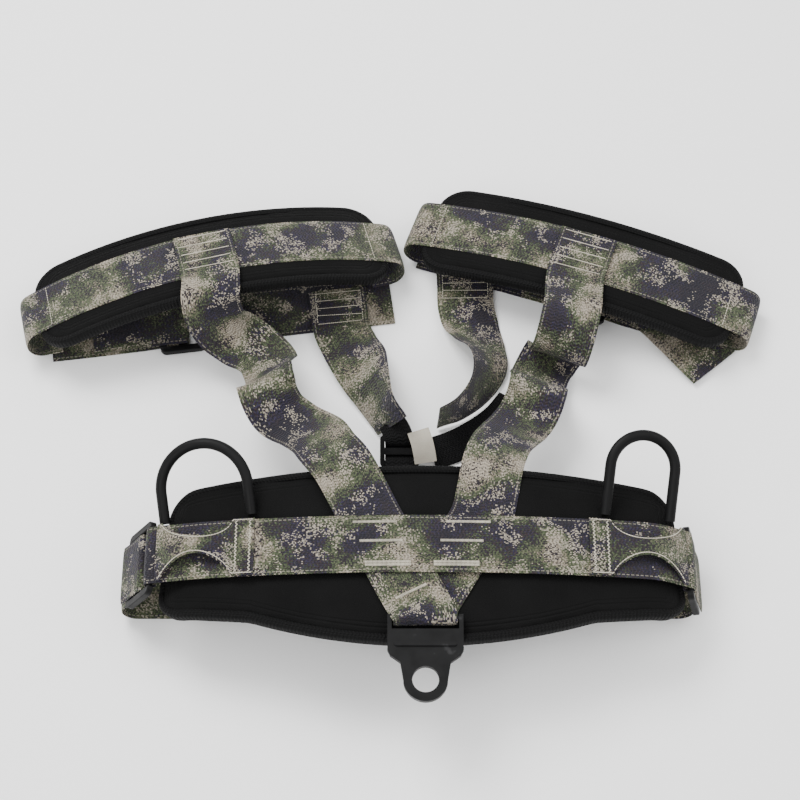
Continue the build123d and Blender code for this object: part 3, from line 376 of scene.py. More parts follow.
def loop_route(side):
    """Soft side loop: flat on the belt, then a hump whose end is caught at the bar."""
    place = bar_frame(side)
    end = placed(place, [[-6.0, FIXED_INNER + THICK + GAP + THICK / 2]])[0]
    reach = CROWN_RADIUS + LOOP + THICK / 2
    flat = arc((0, CROWN_CENTRE), reach, 90 - math.degrees(math.asin(LOOP_START / CROWN_RADIUS)),
               90 - math.degrees(math.asin((LOOP_START + 18.0) / CROWN_RADIUS)))
    start = flat[-1]
    chord = end - start
    rise = unit(np.array([[-chord[1], chord[0]]]))[0] * 9.6
    s = np.linspace(0, 1, 24)[1:, None]
    hump = start + chord * s + rise * np.sin(np.pi * s) ** 1.15
    return upright(resample(np.concatenate((flat, hump)), 1.0), side)


def loop_half(reach):
    """Half width of a side loop at a distance from the middle: the webbing's own, less a
    circular scoop in each edge."""
    chord, depth, middle = LOOP_SCOOP
    radius = (chord**2 + depth**2) / (2 * depth)
    off = np.minimum(np.abs(reach - middle), chord)
    return WEB / 2 - (np.sqrt(radius**2 - off**2) - (radius - depth))


def leg_frame(leg):
    """Origin and directions along, across and out of a leg band's padded half."""
    turn, lean = math.radians(leg["turn"]), math.radians(leg["lean"])
    along = np.array([math.cos(turn), math.sin(turn), 0.0])
    flat = np.array([-math.sin(turn), math.cos(turn), 0.0])
    out = np.array([0, 0, 1.0]) * math.cos(lean) + flat * math.sin(lean)
    return np.array([*leg["centre"], leg["lift"]]), along, np.cross(out, along), out


def leg_crown(leg):
    """Half length, crown radius and half crown angle of a leg band."""
    half = leg["length"] / 2 - leg["fold"]
    rise = leg["height"] - 2 * leg["fold"]
    gap = (half**2 + rise**2) / (2 * rise)
    return half, gap + leg["fold"], math.degrees(math.asin(half / gap))


def leg_point(leg, x, y, depth):
    """World points of a leg's crown at x along and y across, depth under the webbing's face."""
    origin, along, across, out = leg_frame(leg)
    _, radius, _ = leg_crown(leg)
    x, y, depth = np.broadcast_arrays(np.asarray(x, float), y, depth)
    tall = leg["height"] - radius + np.sqrt((radius - depth) ** 2 - x**2)
    return origin + x[..., None] * along + y[..., None] * across + tall[..., None] * out


def band_route(leg):
    """Leg webbing: turned-in end, fold, crown, fold, turned-in end."""
    half, radius, angle = leg_crown(leg)
    fold, t = leg["fold"], THICK / 2
    points = np.concatenate((
        [[TURNED_IN - half, t]], arc((-half, fold), fold - t, 270, 90 + angle),
        arc((0, leg["height"] - radius), radius - t, 90 + angle, 90 - angle),
        arc((half, fold), fold - t, 90 - angle, -90), [[half - TURNED_IN, t]]))
    points = resample(points, 2.5)
    origin, along, across, out = leg_frame(leg)
    return origin + points[:, :1] * along + points[:, 1:] * out, across


def strap_frame(leg):
    """Origin and directions of a leg adjuster: along to the band's outer end, across, up."""
    turn, tilt = math.radians(leg["turn"]), math.radians(leg["strap_turn"])
    along = np.array([math.cos(tilt), math.sin(tilt), 0.0])
    across = np.array([-math.sin(turn), math.cos(turn), 0.0])
    origin = np.array([*leg["centre"], 0.0]) + across * leg["strap_shift"]
    origin = origin + leg["outward"] * leg["adjuster_at"] * along + [0, 0, THICK + FIXED_INNER]
    along = along * leg["outward"]
    return origin, along, np.cross([0, 0, 1.0], along), np.array([0, 0, 1.0])


def on_frame(place, points):
    """Points (along, across, up) of a leg adjuster's frame as world points."""
    points = np.asarray(points, float)
    return place[0] + points[:, :1] * place[1] + points[:, 1:2] * place[2] + points[:, 2:] * place[3]


def flat_route(points, y=0.0):
    """Points (along, up) with a level offset across them."""
    return np.stack([points[:, 0], np.full(len(points), y), points[:, 1]], axis=1)


def short_route(leg):
    """Short lower strap: from the band's inner end round the fixed bar and back on itself."""
    half = FIXED_INNER + THICK / 2
    start = -leg_crown(leg)[0] - leg["adjuster_at"]
    points = np.concatenate(([[start, -half]], arc((FIXED_X, 0), half, -90, 90),
                             [[FIXED_X - 34, half - 0.8]]))
    place = strap_frame(leg)
    return on_frame(place, flat_route(resample(points))), place[2]


def long_route(leg):
    """Long lower strap: from the outer end round the sliding bar, then its tail on top,
    which may swing aside. Gives the widths' directions too."""
    place = strap_frame(leg)
    half = SLIDE_INNER + THICK / 2
    floor = FIXED_INNER + THICK / 2
    start = leg_crown(leg)[0] - 6 - leg["adjuster_at"]
    end = FRAME_LENGTH / 2
    under = np.concatenate(([[start, -floor], [end + 14, -floor], [end, -half]],
                            arc((SLIDE_X, 0), half, 270, 90), [[end + 2, half]]))
    loop = flat_route(resample(under))
    swing = math.radians(leg["tail_turn"] * leg["outward"])
    s = np.linspace(0, 1, 40)[1:]
    bend = swing * np.clip(s * 2.2, 0, 1) ** 1.5
    step = (leg["tail"] + 6) / len(s)
    tail_x = end + 2 + np.cumsum(np.cos(bend)) * step
    tail_y = np.cumsum(np.sin(bend)) * step
    tail_z = half - 2.2 * np.clip((s - 0.35) / 0.65, 0, 1) ** 2
    centre = np.concatenate((loop, np.stack([tail_x, tail_y, tail_z], axis=1)))
    turn = np.concatenate((np.zeros(len(loop)), bend))
    sides = np.cos(turn)[:, None] * place[2] - np.sin(turn)[:, None] * place[1]
    return on_frame(place, centre), sides


def crown_station(x, y, ply, turn):
    """Riser station on the waist pad's crown."""
    return (x, y, arch_z(x, ply), turn, -math.degrees(math.asin(x / CROWN_RADIUS)))


def riser_route(side):
    """Riser: under the belt, off the pad's edge, down in a wave and up to its tab on the leg."""
    leg = LEGS[side]
    tab = leg_point(leg, leg["riser_at"], np.array([-20.0, -8.0, 6.0, 20.0]), -GAP - THICK / 2)
    on_pad = [crown_station(*station) for station in RISER_ON_PAD[side]]
    on_leg = [(*point, leg["turn"], 0) for point in tab]
    return turned(bar_stations(side) + on_pad + RISER_STATIONS[side] + on_leg)


def bar_stations(side):
    """Where the risers, one strap, are folded round the attachment plate's bar: the left one
    comes over it and turns under, and the right one goes on from below."""
    reach = PLATE_BAR_RADIUS + THICK / 2
    bar_z = CROWN_HEIGHT + LOWER + THICK + PLATE_BAR_RADIUS
    front_y = PLATE_BAR_Y - reach * 0.9
    if side == "right":
        return [(2.5, -50, bar_z - reach + 0.4, 0, 0), (4, -43, bar_z - reach - 0.2, -14, 0)]
    return [(2, -50, bar_z - reach + 0.6, 0, 0), (2, PLATE_BAR_Y, bar_z - reach, 0, 0),
            (2, front_y, bar_z - 2, 0, 0), (2, front_y, bar_z + 2, 0, 0),
            (1.6, PLATE_BAR_Y, bar_z + reach, 3, 0),
            (-1.5, -50, bar_z + reach - 2.4, 16, 0), (-5, -42, bar_z + reach - 5.0, 24, 0)]


# Risers on the waist pad, as x, y, ply and turn, then off it, as x, y, z, turn and tilt
RISER_ON_PAD = {
    "left": [(-9.5, -33, UPPER, 27), (-23, -6, UPPER, 26), (-38, 24, UPPER, 24),
             (-48, 46, UPPER, 24), (-59, 67, UPPER + GAP, 28)],
    "right": [(9.5, -33, LOWER, -28), (25, -6, LOWER, -30), (43, 24, LOWER, -22),
              (48, 46, LOWER, -8), (52, 67, LOWER, -10)],
}
RISER_STATIONS = {
    "left": [(-68, 80, 74, 34, 0), (-76, 96, 64, 38, 0), (-85, 108, 53, 38, 0),
             (-96, 118, 46, 36, 0), (-107, 127, 46, 34, 0), (-114, 137, 52, 34, 0),
             (-117, 147, 55, 36, 0), (-117, 156, 50, 38, 0), (-115, 165, 41, 38, 0),
             (-115, 174, 33, 37, 0), (-119, 184, 29, 34, 0), (-129, 194, 29, 27, 0),
             (-141, 200, 33, 20, 0), (-152, 203, 42, 15, 0), (-158.5, 207, 55, 13, 0),
             (-161, 214.5, 66, 14, 0), (-161, 227, 68.7, 14, 0)],
    "right": [(58, 86, 69, -18, 0), (66, 102, 56, -24, 0), (74, 116, 44, -26, 0),
              (81, 128, 40, -26, 0), (86, 138, 43, -25, 0), (89, 147, 47, -24, 0),
              (90, 155, 44, -24, 0), (90, 161, 34, -25, 0), (90, 167, 22, -26, 0),
              (92, 175, 12, -26, 0), (95, 184, 8, -25, 0), (99, 192, 8.5, -24, 0),
              (103, 196, 13.5, -23, 0), (105, 194, 20, -22, 0), (106, 189, 26, -22, 0),
              (107.5, 186, 33, -21, 0), (109.5, 188, 41, -20, 0), (112, 194, 49, -18, 0),
              (115, 205, 55, -17, 0), (118, 220, 54.5, -17.5, 0), (119.5, 235, 50, -18, 0)],
}
# Front straps from their tabs on the leg bands to the slider
FRONT_STATIONS = {
    "left": [(-66, 263, 5.7, 10, 0), (-64, 245, 5.7, 11, 0), (-62, 227, 5.2, 14, 0),
             (-55, 209, 7, 16, 4), (-47, 190, 14, 18, 22), (-39, 168, 21, 22, 46),
             (-32, 148, 24, 26, 62), (-27, 136, 24.5, 28, 70), (-22, 129, 21, 28, 72)],
    "right": [(36, 286, 5.7, -14, 0), (36.5, 266, 5.7, -13, 0), (37, 247, 5.2, -12, 0),
              (41, 229, 6, -8, -5), (47, 211, 12, -4, -22), (52, 193, 19, 2, -45),
              (50, 174, 23, 12, -62), (42, 156, 24.5, 26, -72), (29, 142, 24.5, 44, -76),
              (14, 134, 24, 62, -76)],
}
# Black straps: one from under the pad through the slider's windows, one crossing behind it
LINK_STATIONS = [(-18, 78, 1.2, 4, 0), (-16.5, 89, 2.0, 3, 0), (-16, 98, 4.2, 1, 0),
                 (-16, 104, 5.6, 0, 0), (-16, 108, 6.4, 0, 0), (-16, 112, 5.5, 0, 0),
                 (-16, 115.8, 6.4, 0, 0), (-16, 117.5, 10, 0, 0), (-16, 118.4, 13.6, 0, 0),
                 (-16.5, 121, 16.9, 3, 4), (-19, 127, 19.5, 12, 16), (-23, 133, 22, 22, 40)]
CROSS_STATIONS = [(9, 112, 8.5, 80, 35), (24, 118, 7.5, 104, 30), (42, 128, 8, 122, 20),
                  (60, 143, 8, 134, 10), (72, 160, 7, 142, 0)]


# ---------------------------------------------------------------- materials
class Graph:
    """Short way to build a node tree: add() makes a node, an input given a socket is linked
    and one given a number or colour is set, and the rest return the socket they end in."""

    def __init__(self, tree):
        self.tree = tree

    def add(self, kind, inputs=None, **settings):
        node = self.tree.nodes.new(kind)
        for key, value in settings.items():
            setattr(node, key, value)
        for key, value in (inputs or {}).items():
            self.give(node.inputs[key], value)
        return node

    def give(self, socket, value):
        if isinstance(value, bpy.types.NodeSocket):
            self.link(value, socket)
        else:
            socket.default_value = value

    def math(self, operation, *values):
        return self.add("ShaderNodeMath", dict(enumerate(values)), operation=operation).outputs[0]

    def noise(self, place, **inputs):
        return self.add("ShaderNodeTexNoise", {"Vector": place, **inputs}).outputs[0]

    def remap(self, value, low, high, to_low, to_high):
        inputs = dict(enumerate((value, low, high, to_low, to_high)))
        return self.add("ShaderNodeMapRange", inputs).outputs[0]

    def link(self, value, socket):
        self.tree.links.new(value, socket)

    def surface(self, shader, base, height, strength, depth):
        """Sends a colour to the shader, and a height through a bump node."""
        self.link(base, shader.inputs["Base Color"])
        bump = self.add("ShaderNodeBump", {"Strength": strength, "Distance": depth, "Height": height})
        self.link(bump.outputs[0], shader.inputs["Normal"])

    def mix(self, factor, first, second, blend="MIX"):
        inputs = {0: factor, 6: first, 7: second}
        return self.add("ShaderNodeMix", inputs, data_type="RGBA", blend_type=blend).outputs[2]

    def ramp(self, factor, stops, interpolation="LINEAR"):
        node = self.add("ShaderNodeValToRGB", {0: factor})
        node.color_ramp.interpolation = interpolation
        elements = node.color_ramp.elements
        while len(elements) < len(stops):
            elements.new(0.5)
        for element, (position, colour) in zip(elements, stops):
            element.position, element.color = position, colour
        return node.outputs[0]


def group(name, inputs, outputs):
    """Empty node group with its sockets, and a Graph to fill it."""
    tree = bpy.data.node_groups.new(name, "ShaderNodeTree")
    for direction, sockets in (("INPUT", inputs), ("OUTPUT", outputs)):
        for socket, kind, value in sockets:
            item = tree.interface.new_socket(name=socket, in_out=direction, socket_type=kind)
            if value is not None:
                item.default_value = value
    graph = Graph(tree)
    return tree, graph, graph.add("NodeGroupInput").outputs, graph.add("NodeGroupOutput").inputs


def weave_group():
    """Ribbed weave of a strap from its own lengths: x across, y along, in metres. Gives a
    height for the bump and a shade from the same height: painted shade in the grooves between the ribs
    and painted light on the ribs' tops, with some random tone from the noise."""
    tree, g, given, out = group(
        "Ribbed weave", [("Strap", "NodeSocketVector", None), ("Rib", "NodeSocketFloat", 0.0026)],
        [("Height", "NodeSocketFloat", None), ("Shade", "NodeSocketFloat", None)])
    parts = g.add("ShaderNodeSeparateXYZ", {0: given["Strap"]}).outputs
    noise = g.noise(given["Strap"], Scale=900.0, Detail=1.0)
    chevron = g.math("PINGPONG", parts[0], 0.0028)
    along = g.math("DIVIDE", g.math("ADD", parts[1], g.math("MULTIPLY", chevron, 0.55)), given["Rib"])
    ribs = g.math("SINE", g.math("MULTIPLY", along, 2 * math.pi))
    warps = g.math("SINE", g.math("MULTIPLY", parts[0], 2 * math.pi / 0.0014))
    height = g.math("ADD", g.math("MULTIPLY", ribs, 0.5), g.math("MULTIPLY", warps, 0.28))
    height = g.math("ADD", height, g.math("MULTIPLY", noise, 0.7))
    g.link(height, out["Height"])
    # Shade: painted shade in the grooves and painted light on the rib tops, made from the height
    g.link(g.remap(height, -0.6, 1.0, 0.45, 1.25), out["Shade"])
    return tree


def camo_group(patch):
    """Printed camouflage in small square cells: one slow noise chooses the patch colour, cell
    by cell with a ragged border, and a second sprinkles light and dark cells over it."""
    tree, g, given, out = group(
        "Cell camouflage", [("Strap", "NodeSocketVector", None), ("Seed", "NodeSocketFloat", 0.0)],
        [("Color", "NodeSocketColor", None)])
    cell = g.add("ShaderNodeVectorMath", {0: given["Strap"], 1: (0.0008, 0.0010, 1.0)},
                 operation="SNAP").outputs[0]
    seed = g.add("ShaderNodeCombineXYZ", {2: g.math("MULTIPLY", given["Seed"], 37.0)}).outputs[0]
    place = g.add("ShaderNodeVectorMath", {0: cell, 1: seed}, operation="ADD").outputs[0]
    white = g.add("ShaderNodeTexWhiteNoise", {"Vector": place}, noise_dimensions="3D").outputs[0]
    shifted = g.add("ShaderNodeVectorMath", {0: place, 1: (3.7, 1.3, 0.4)}, operation="ADD").outputs[0]
    other = g.add("ShaderNodeTexWhiteNoise", {"Vector": shifted}, noise_dimensions="3D").outputs[0]
    slow = g.noise(place, Scale=1.0 / patch, Detail=1.5, Roughness=0.45)
    dots = g.noise(shifted, Scale=2.3 / patch, Detail=1.0)
    value = g.math("ADD", slow, g.math("MULTIPLY", g.math("SUBTRACT", white, 0.5), 0.13))
    base = g.ramp(value, [
        (0.00, (0.007, 0.006, 0.012, 1)), (0.385, (0.016, 0.012, 0.032, 1)),
        (0.430, (0.021, 0.012, 0.013, 1)), (0.460, (0.020, 0.026, 0.013, 1)),
        (0.500, (0.048, 0.062, 0.029, 1)), (0.560, (0.078, 0.083, 0.047, 1)),
        (0.620, (0.170, 0.143, 0.105, 1)), (0.665, (0.270, 0.235, 0.185, 1))], "CONSTANT")
    drift = g.math("SUBTRACT", dots, 0.5)
    light = g.math("GREATER_THAN", g.math("ADD", other, g.math("MULTIPLY", drift, 2.4)), 0.96)
    dark = g.math("LESS_THAN", g.math("ADD", other, g.math("MULTIPLY", drift, 2.0)), 0.13)
    speckled = g.mix(light, base, (0.260, 0.230, 0.185, 1))
    speckled = g.mix(dark, speckled, (0.014, 0.010, 0.014, 1))
    g.link(speckled, out["Color"])
    return tree


def material(name, build):
    """Material whose shader build(graph, shader) fills in."""
    made = MATERIALS[name] = bpy.data.materials.new(name)
    made.use_nodes = True
    build(Graph(made.node_tree), made.node_tree.nodes["Principled BSDF"])


def strap_shader(weave, camo, rough, plain=None, seams=True):
    """Shader of a strap: camouflage or a plain colour, ribbed, with a sewn edge where wanted."""
    def build(g, shader):
        strap_uv = g.add("ShaderNodeUVMap", uv_map="strap").outputs[0]
        ribs = g.add("ShaderNodeGroup", node_tree=weave)
        g.link(strap_uv, ribs.inputs["Strap"])
        if camo is None:
            # the ribs' painted shade and painted light multiply the plain colour
            base = g.mix(1.0, plain, ribs.outputs["Shade"], "MULTIPLY")
        else:
            seed = g.add("ShaderNodeObjectInfo").outputs["Random"]
            print_group = g.add("ShaderNodeGroup", node_tree=camo)
            g.link(strap_uv, print_group.inputs["Strap"])
            g.link(seed, print_group.inputs["Seed"])
            # the ribs' painted shade and painted light multiply the printed colour
            base = g.mix(1.0, print_group.outputs["Color"], ribs.outputs["Shade"], "MULTIPLY")
        height = ribs.outputs["Height"]
        if seams:
            parts = g.add("ShaderNodeSeparateXYZ", {0: strap_uv}).outputs
            off = g.math("ABSOLUTE", g.math("SUBTRACT", g.math("ABSOLUTE", parts[0]), 0.0203))
            near = g.math("LESS_THAN", off, 0.00042)
            dash = g.math("LESS_THAN", g.math("FRACT", g.math("DIVIDE", parts[1], 0.0034)), 0.66)
            sewn = g.math("MULTIPLY", near, dash)
            base = g.mix(g.math("MULTIPLY", sewn, 0.55), base, (0.26, 0.24, 0.19, 1))
            height = g.math("ADD", height, g.math("MULTIPLY", sewn, 1.2))
        g.surface(shader, base, height, 0.8, 0.0006)
        shader.inputs["Roughness"].default_value = rough
        shader.inputs["Sheen Weight"].default_value = 0.06 if camo else 0.0
        shader.inputs["Sheen Roughness"].default_value = 0.5
        shader.inputs["Specular IOR Level"].default_value = 0.3 if camo else 0.12
    return build


def fabric_shader(colour, cells, rough, seam=False, holes=0.0):
    """Shader of a knitted or mesh face on object coordinates. A piece that carries its
    distance from the edge gets two sewn grooves along it."""
    def build(g, shader):
        place = g.add("ShaderNodeTexCoord").outputs["Object"]
        knit = g.add("ShaderNodeTexVoronoi", {"Vector": place, "Scale": cells}).outputs["Distance"]
        slow = g.noise(place, Scale=26.0, Detail=4.0)
        base = g.mix(1.0, colour, g.remap(slow, 0.3, 0.7, 0.75, 1.3), "MULTIPLY")
        height = g.math("MULTIPLY", knit, -1.0 - holes)
        if holes:
            # the mesh's holes are painted darker: painted shade in them
            pit = g.math("LESS_THAN", knit, 0.22)
            base = g.mix(g.math("MULTIPLY", pit, holes), base, (0.004, 0.004, 0.004, 1))
        height = g.math("ADD", height, g.math("MULTIPLY", slow, 1.5))
        if seam:
            edge = g.add("ShaderNodeAttribute", attribute_name="edge").outputs["Fac"]
            for inset in SEAMS:
                off = g.math("ABSOLUTE", g.math("SUBTRACT", edge, inset))
                groove = g.remap(off, 0.0, 0.0011, 1.0, 0.0)
                height = g.math("SUBTRACT", height, g.math("MULTIPLY", groove, 3.0))
                base = g.mix(g.math("MULTIPLY", groove, 0.6), base, (0.004, 0.004, 0.004, 1))
        g.surface(shader, base, height, 0.5, 0.0006)
        shader.inputs["Roughness"].default_value = rough
        shader.inputs["Specular IOR Level"].default_value = 0.10
    return build


def hard_shader(colour, rough, grain, worn=None):
    """Shader of coated steel or moulded plastic: fine grain, uneven gloss and, on steel,
    small rubbed spots where the coat is thin."""
    def build(g, shader):
        place = g.add("ShaderNodeTexCoord").outputs["Object"]
        fine = g.noise(place, Scale=grain, Detail=3.0)
        slow = g.noise(place, Scale=90.0, Detail=5.0)
        base = g.mix(1.0, colour, g.remap(slow, 0.3, 0.7, 0.8, 1.25), "MULTIPLY")
        if worn:
            base = g.mix(g.remap(slow, 0.62, 0.70, 0.0, 0.6), base, worn)
        g.surface(shader, base, fine, 0.22, 0.0002)
        g.link(g.remap(slow, 0.3, 0.7, rough - 0.08, rough + 0.12), shader.inputs["Roughness"])
        shader.inputs["Specular IOR Level"].default_value = 0.12
    return build


def floor_shader(_, shader):
    """Shader of the studio floor: matt and pale."""
    shader.inputs["Base Color"].default_value = (0.98, 0.98, 0.98, 1)
    shader.inputs["Roughness"].default_value = 0.9


def make_materials(patch):
    """Every material of the harness and of the stage."""
    weave, camo = weave_group(), camo_group(patch)
    material("camo", strap_shader(weave, camo, 0.78))
    for name, plain, rough in (("black_web", (0.0040, 0.0040, 0.0042, 1), 0.72),
                               ("binding", (0.0030, 0.0030, 0.0031, 1), 0.75)):
        material(name, strap_shader(weave, None, rough, plain=plain, seams=False))
    material("cover", fabric_shader((0.0030, 0.0030, 0.0030, 1), 1500.0, 0.85, seam=True))
    material("lining", fabric_shader((0.010, 0.010, 0.0105, 1), 420.0, 0.85, holes=0.8))
    coat, rubbed = (0.0050, 0.0050, 0.0052, 1), (0.030, 0.030, 0.031, 1)
    material("steel", hard_shader(coat, 0.45, 1600.0, worn=rubbed))
    material("plastic", hard_shader(coat, 0.5, 2200.0))
    material("sleeve", hard_shader((0.0040, 0.0040, 0.0042, 1), 0.5, 700.0))
    material("core", fabric_shader((0.03, 0.03, 0.03, 1), 1200.0, 0.8))
    material("label", fabric_shader((0.40, 0.37, 0.31, 1), 1700.0, 0.8))
    material("thread", hard_shader((0.42, 0.39, 0.32, 1), 0.62, 3500.0))
    material("floor", floor_shader)


# ---------------------------------------------------------------- pads
def waist_edges(reach):
    """-Y edge and +Y edge of the waist pad at a reach from its middle: each a parabola, the
    -Y one straight past WAIST_BEND, rounded off over the last WAIST_CORNER."""
    low = np.where(reach < WAIST_BEND, WAIST_LOW + 21 * (reach / WAIST_BEND) ** 2,
                   WAIST_LOW + 21 + 8 * (reach - WAIST_BEND) / 71)
    top = WAIST_TOP - 16 * (reach / WAIST_REACH) ** 2
    over = np.maximum(reach - (WAIST_REACH - WAIST_CORNER), 0)
    corner = WAIST_CORNER - np.sqrt(np.maximum(WAIST_CORNER**2 - over**2, 0))
    return low + corner, top - corner


def waist_half(y):
    """Half length of the waist pad at y: longer along the -Y edge."""
    return WAIST_REACH - (y - 3) / 94 * 8


def waist_edge_distance(points):
    """Distance of points on the waist pad from its outline, from their plan position."""
    reach = np.abs(points[:, 0]) * WAIST_REACH / waist_half(points[:, 1])
    low, top = waist_edges(np.minimum(reach, WAIST_REACH))
    return np.minimum(np.minimum(points[:, 1] - low, top - points[:, 1]), WAIST_REACH - reach)


def waist_surface(x, y, depth):
    """World points of the waist pad at a plan position, at a depth under its outer skin."""
    reach = np.abs(x)
    crown = reach < CROWN_HALF_SPAN
    angle = np.where(crown, np.arcsin(np.minimum(reach / CROWN_RADIUS, 1)),
                     np.arcsin(np.clip((reach - END_X) / END_RADIUS, -1, 0.95)))
    radius = np.where(crown, CROWN_RADIUS, END_RADIUS) - depth
    centre_x, centre_z = np.where(crown, 0.0, END_X), np.where(crown, CROWN_CENTRE, END_Z)
    return np.stack([np.sign(x) * (centre_x + radius * np.sin(angle)), y * np.ones_like(x),
                     centre_z + radius * np.cos(angle)], axis=-1)


def waist_grid(a, b):
    """Plan position on the waist pad for square coordinates from -1 to 1."""
    reach = np.abs(np.sin(a * np.pi / 2)) * WAIST_REACH
    low, top = waist_edges(reach)
    y = low + (top - low) * (b + 1) / 2
    return np.sign(a) * reach * waist_half(y) / WAIST_REACH, y


def leg_pad_half(leg):
    """Half length in plan of a leg pad."""
    _, radius, angle = leg_crown(leg)
    return radius * math.sin(math.radians(angle) - 8.0 / radius)


def leg_grid(leg, a, b):
    """Position along and across a leg pad for square coordinates, with rounded corners."""
    half, wide, corner = leg_pad_half(leg), LEG_PAD[0] / 2, LEG_PAD[1]
    x = np.sin(a * np.pi / 2) * half
    over = np.maximum(np.abs(x) - (half - corner), 0)
    return x, b * (wide - corner + np.sqrt(np.maximum(corner**2 - over**2, 0)))


def leg_edge_distance(leg, points):
    """Distance of points from a leg pad's rounded outline, in the pad's own plane."""
    origin, along, across, _ = leg_frame(leg)
    local = np.abs(np.stack([(points - origin) @ along, (points - origin) @ across], axis=1))
    over = local - (np.array([leg_pad_half(leg), LEG_PAD[0] / 2]) - LEG_PAD[1])
    outside = np.linalg.norm(np.maximum(over, 0), axis=1)
    return LEG_PAD[1] - outside - np.minimum(over.max(axis=1), 0)


def pad_shell(name, grid, surface, thick, along=110, across=34):
    """Closed pad: an outer and an inner face over the same grid. Within EDGE_CURVE of the edge
    each face curves in on a quarter circle to meet the other at half the thickness."""
    a, b = np.meshgrid(np.linspace(-1, 1, along), np.linspace(-1, 1, across), indexing="ij")
    x, y = grid(a, b)
    middle = surface(x, y, thick / 2 * np.ones_like(x))
    border = np.zeros(a.shape, dtype=bool)
    border[0], border[-1], border[:, 0], border[:, -1] = True, True, True, True
    gap = np.abs(np.stack([y - y[:, :1], y - y[:, -1:], x - x[:1], x - x[-1:]])).min(axis=0)
    full = np.sqrt(1 - (1 - np.clip(gap / EDGE_CURVE, 0, 1)) ** 2)
    outer = surface(x, y, thick / 2 * (1 - full))
    inner = surface(x, y, thick / 2 * (1 + full))
    top = np.arange(a.size).reshape(a.shape)
    low = np.arange(a.size, 2 * a.size).reshape(a.shape)
    low[border] = top[border]
    quads = [np.stack([face[:-1, :-1], face[1:, :-1], face[1:, 1:], face[:-1, 1:]], axis=-1)
             for face in (top, low)]
    quads = [quads[0].reshape(-1, 4), quads[1].reshape(-1, 4)[:, ::-1]]
    verts = np.concatenate((outer.reshape(-1, 3), inner.reshape(-1, 3)))
    used = np.unique(np.concatenate(quads))
    lookup = np.zeros(len(verts), dtype=int)
    lookup[used] = np.arange(len(used))
    faces = lookup[np.concatenate(quads)]
    piece = mesh_piece(name, verts[used], faces.tolist(), "cover", sharp=80.0)
    loop = np.concatenate((middle[:, 0], middle[-1, 1:], middle[-2::-1, -1], middle[0, -2:0:-1]))
    return piece, loop


def swell(piece, cap):
    """Voxel remesh and Cloth under pressure with no gravity, each point moved at most cap
    metres, and the result written into the piece's own mesh."""
    scene = bpy.context.scene
    remesh = piece.modifiers.new("remesh", "REMESH")
    remesh.mode, remesh.voxel_size = "VOXEL", 0.004
    graph = bpy.context.evaluated_depsgraph_get()
    fine = bpy.data.meshes.new_from_object(piece.evaluated_get(graph))
    piece.modifiers.clear()
    piece.data = fine
    start = np.empty(len(fine.vertices) * 3)
    fine.vertices.foreach_get("co", start)
    cloth = piece.modifiers.new("cloth", "CLOTH")
    cloth.settings.use_pressure, cloth.settings.uniform_pressure_force = True, 4.0
    cloth.settings.effector_weights.gravity = 0.0
    cloth.settings.quality = 4
    for step in range(1, 21):
        scene.frame_set(step)
    swollen = bpy.data.meshes.new_from_object(piece.evaluated_get(bpy.context.evaluated_depsgraph_get()))
    end = np.empty_like(start)
    swollen.vertices.foreach_get("co", end)
    piece.modifiers.clear()
    scene.frame_set(1)
    move = (end - start).reshape(-1, 3)
    far = np.linalg.norm(move, axis=1, keepdims=True)
    move *= np.minimum(1.0, cap / np.maximum(far, 1e-9))
    fine.vertices.foreach_set("co", start + move.ravel())
    bpy.data.meshes.remove(swollen)


def finish_pad(piece, distance, cap):
    """Swells a pad, marks each point's distance from the edge, and gives the side that
    faces the wearer its mesh lining."""
    swell(piece, cap)
    mesh = piece.data
    if "cover" not in mesh.materials:
        mesh.materials.clear()
        mesh.materials.append(MATERIALS["cover"])
    mesh.materials.append(MATERIALS["lining"])
    co = np.empty(len(mesh.vertices) * 3)
    mesh.vertices.foreach_get("co", co)
    edge = distance(co.reshape(-1, 3) * 1000) * 0.001
    mesh.attributes.new("edge", "FLOAT", "POINT").data.foreach_set("value", edge.astype(np.float32))
    normals = np.empty(len(mesh.polygons) * 3)
    mesh.polygons.foreach_get("normal", normals)
    mesh.polygons.foreach_set("material_index", (normals.reshape(-1, 3)[:, 2] < 0).astype(np.int32))
    mesh.polygons.foreach_set("use_smooth", np.ones(len(mesh.polygons), dtype=bool))
    piece.modifiers.new("smooth", "SUBSURF").levels = 1


def pad_binding(name, loop, middle, thick, ups):
    """Rolled tape round a pad's edge."""
    loop = loop[np.linalg.norm(loop - np.roll(loop, 1, axis=0), axis=1) > 0.05]
    count = int(np.linalg.norm(loop - np.roll(loop, 1, axis=0), axis=1).sum() / 3.0)
    closed = np.concatenate((loop, loop[:1]))
    run = run_of(closed)
    line = sampled(closed, run, np.linspace(0, run[-1], count, endpoint=False))
    along = unit(np.roll(line, -1, axis=0) - np.roll(line, 1, axis=0))
    normal = unit(ups(line))
    outward = unit(np.cross(along, normal))
    sign = np.sign(np.sum(outward * (line - np.asarray(middle, float)), axis=1).mean())
    line = line - outward * sign * BINDING_INSET
    return tube(name, line, outward, np.cross(outward, along), BINDING_HALF, thick / 2 + 0.55,
                "binding")


# ---------------------------------------------------------------- add-on
class HarnessSettings(bpy.types.PropertyGroup):
    """Choices for building the harness's look."""
    patch: bpy.props.FloatProperty(
        name="Patch size", description="Size of the print's colour patches", default=0.036, min=0.005,
        max=0.1, unit="LENGTH")
    swell: bpy.props.FloatProperty(
        name="Pad swell", description="How far the simulation may move a pad's surface", default=0.0014,
        min=0.0, max=0.01, unit="LENGTH")
    ripple: bpy.props.FloatProperty(
        name="Ripple", description="Height of the slow waves in the free straps' edges, in millimetres",
        default=0.5, min=0.0, max=3.0)
    light: bpy.props.FloatProperty(
        name="Light", description="Strength of the studio lamps", default=1.0, min=0.1, max=5.0)


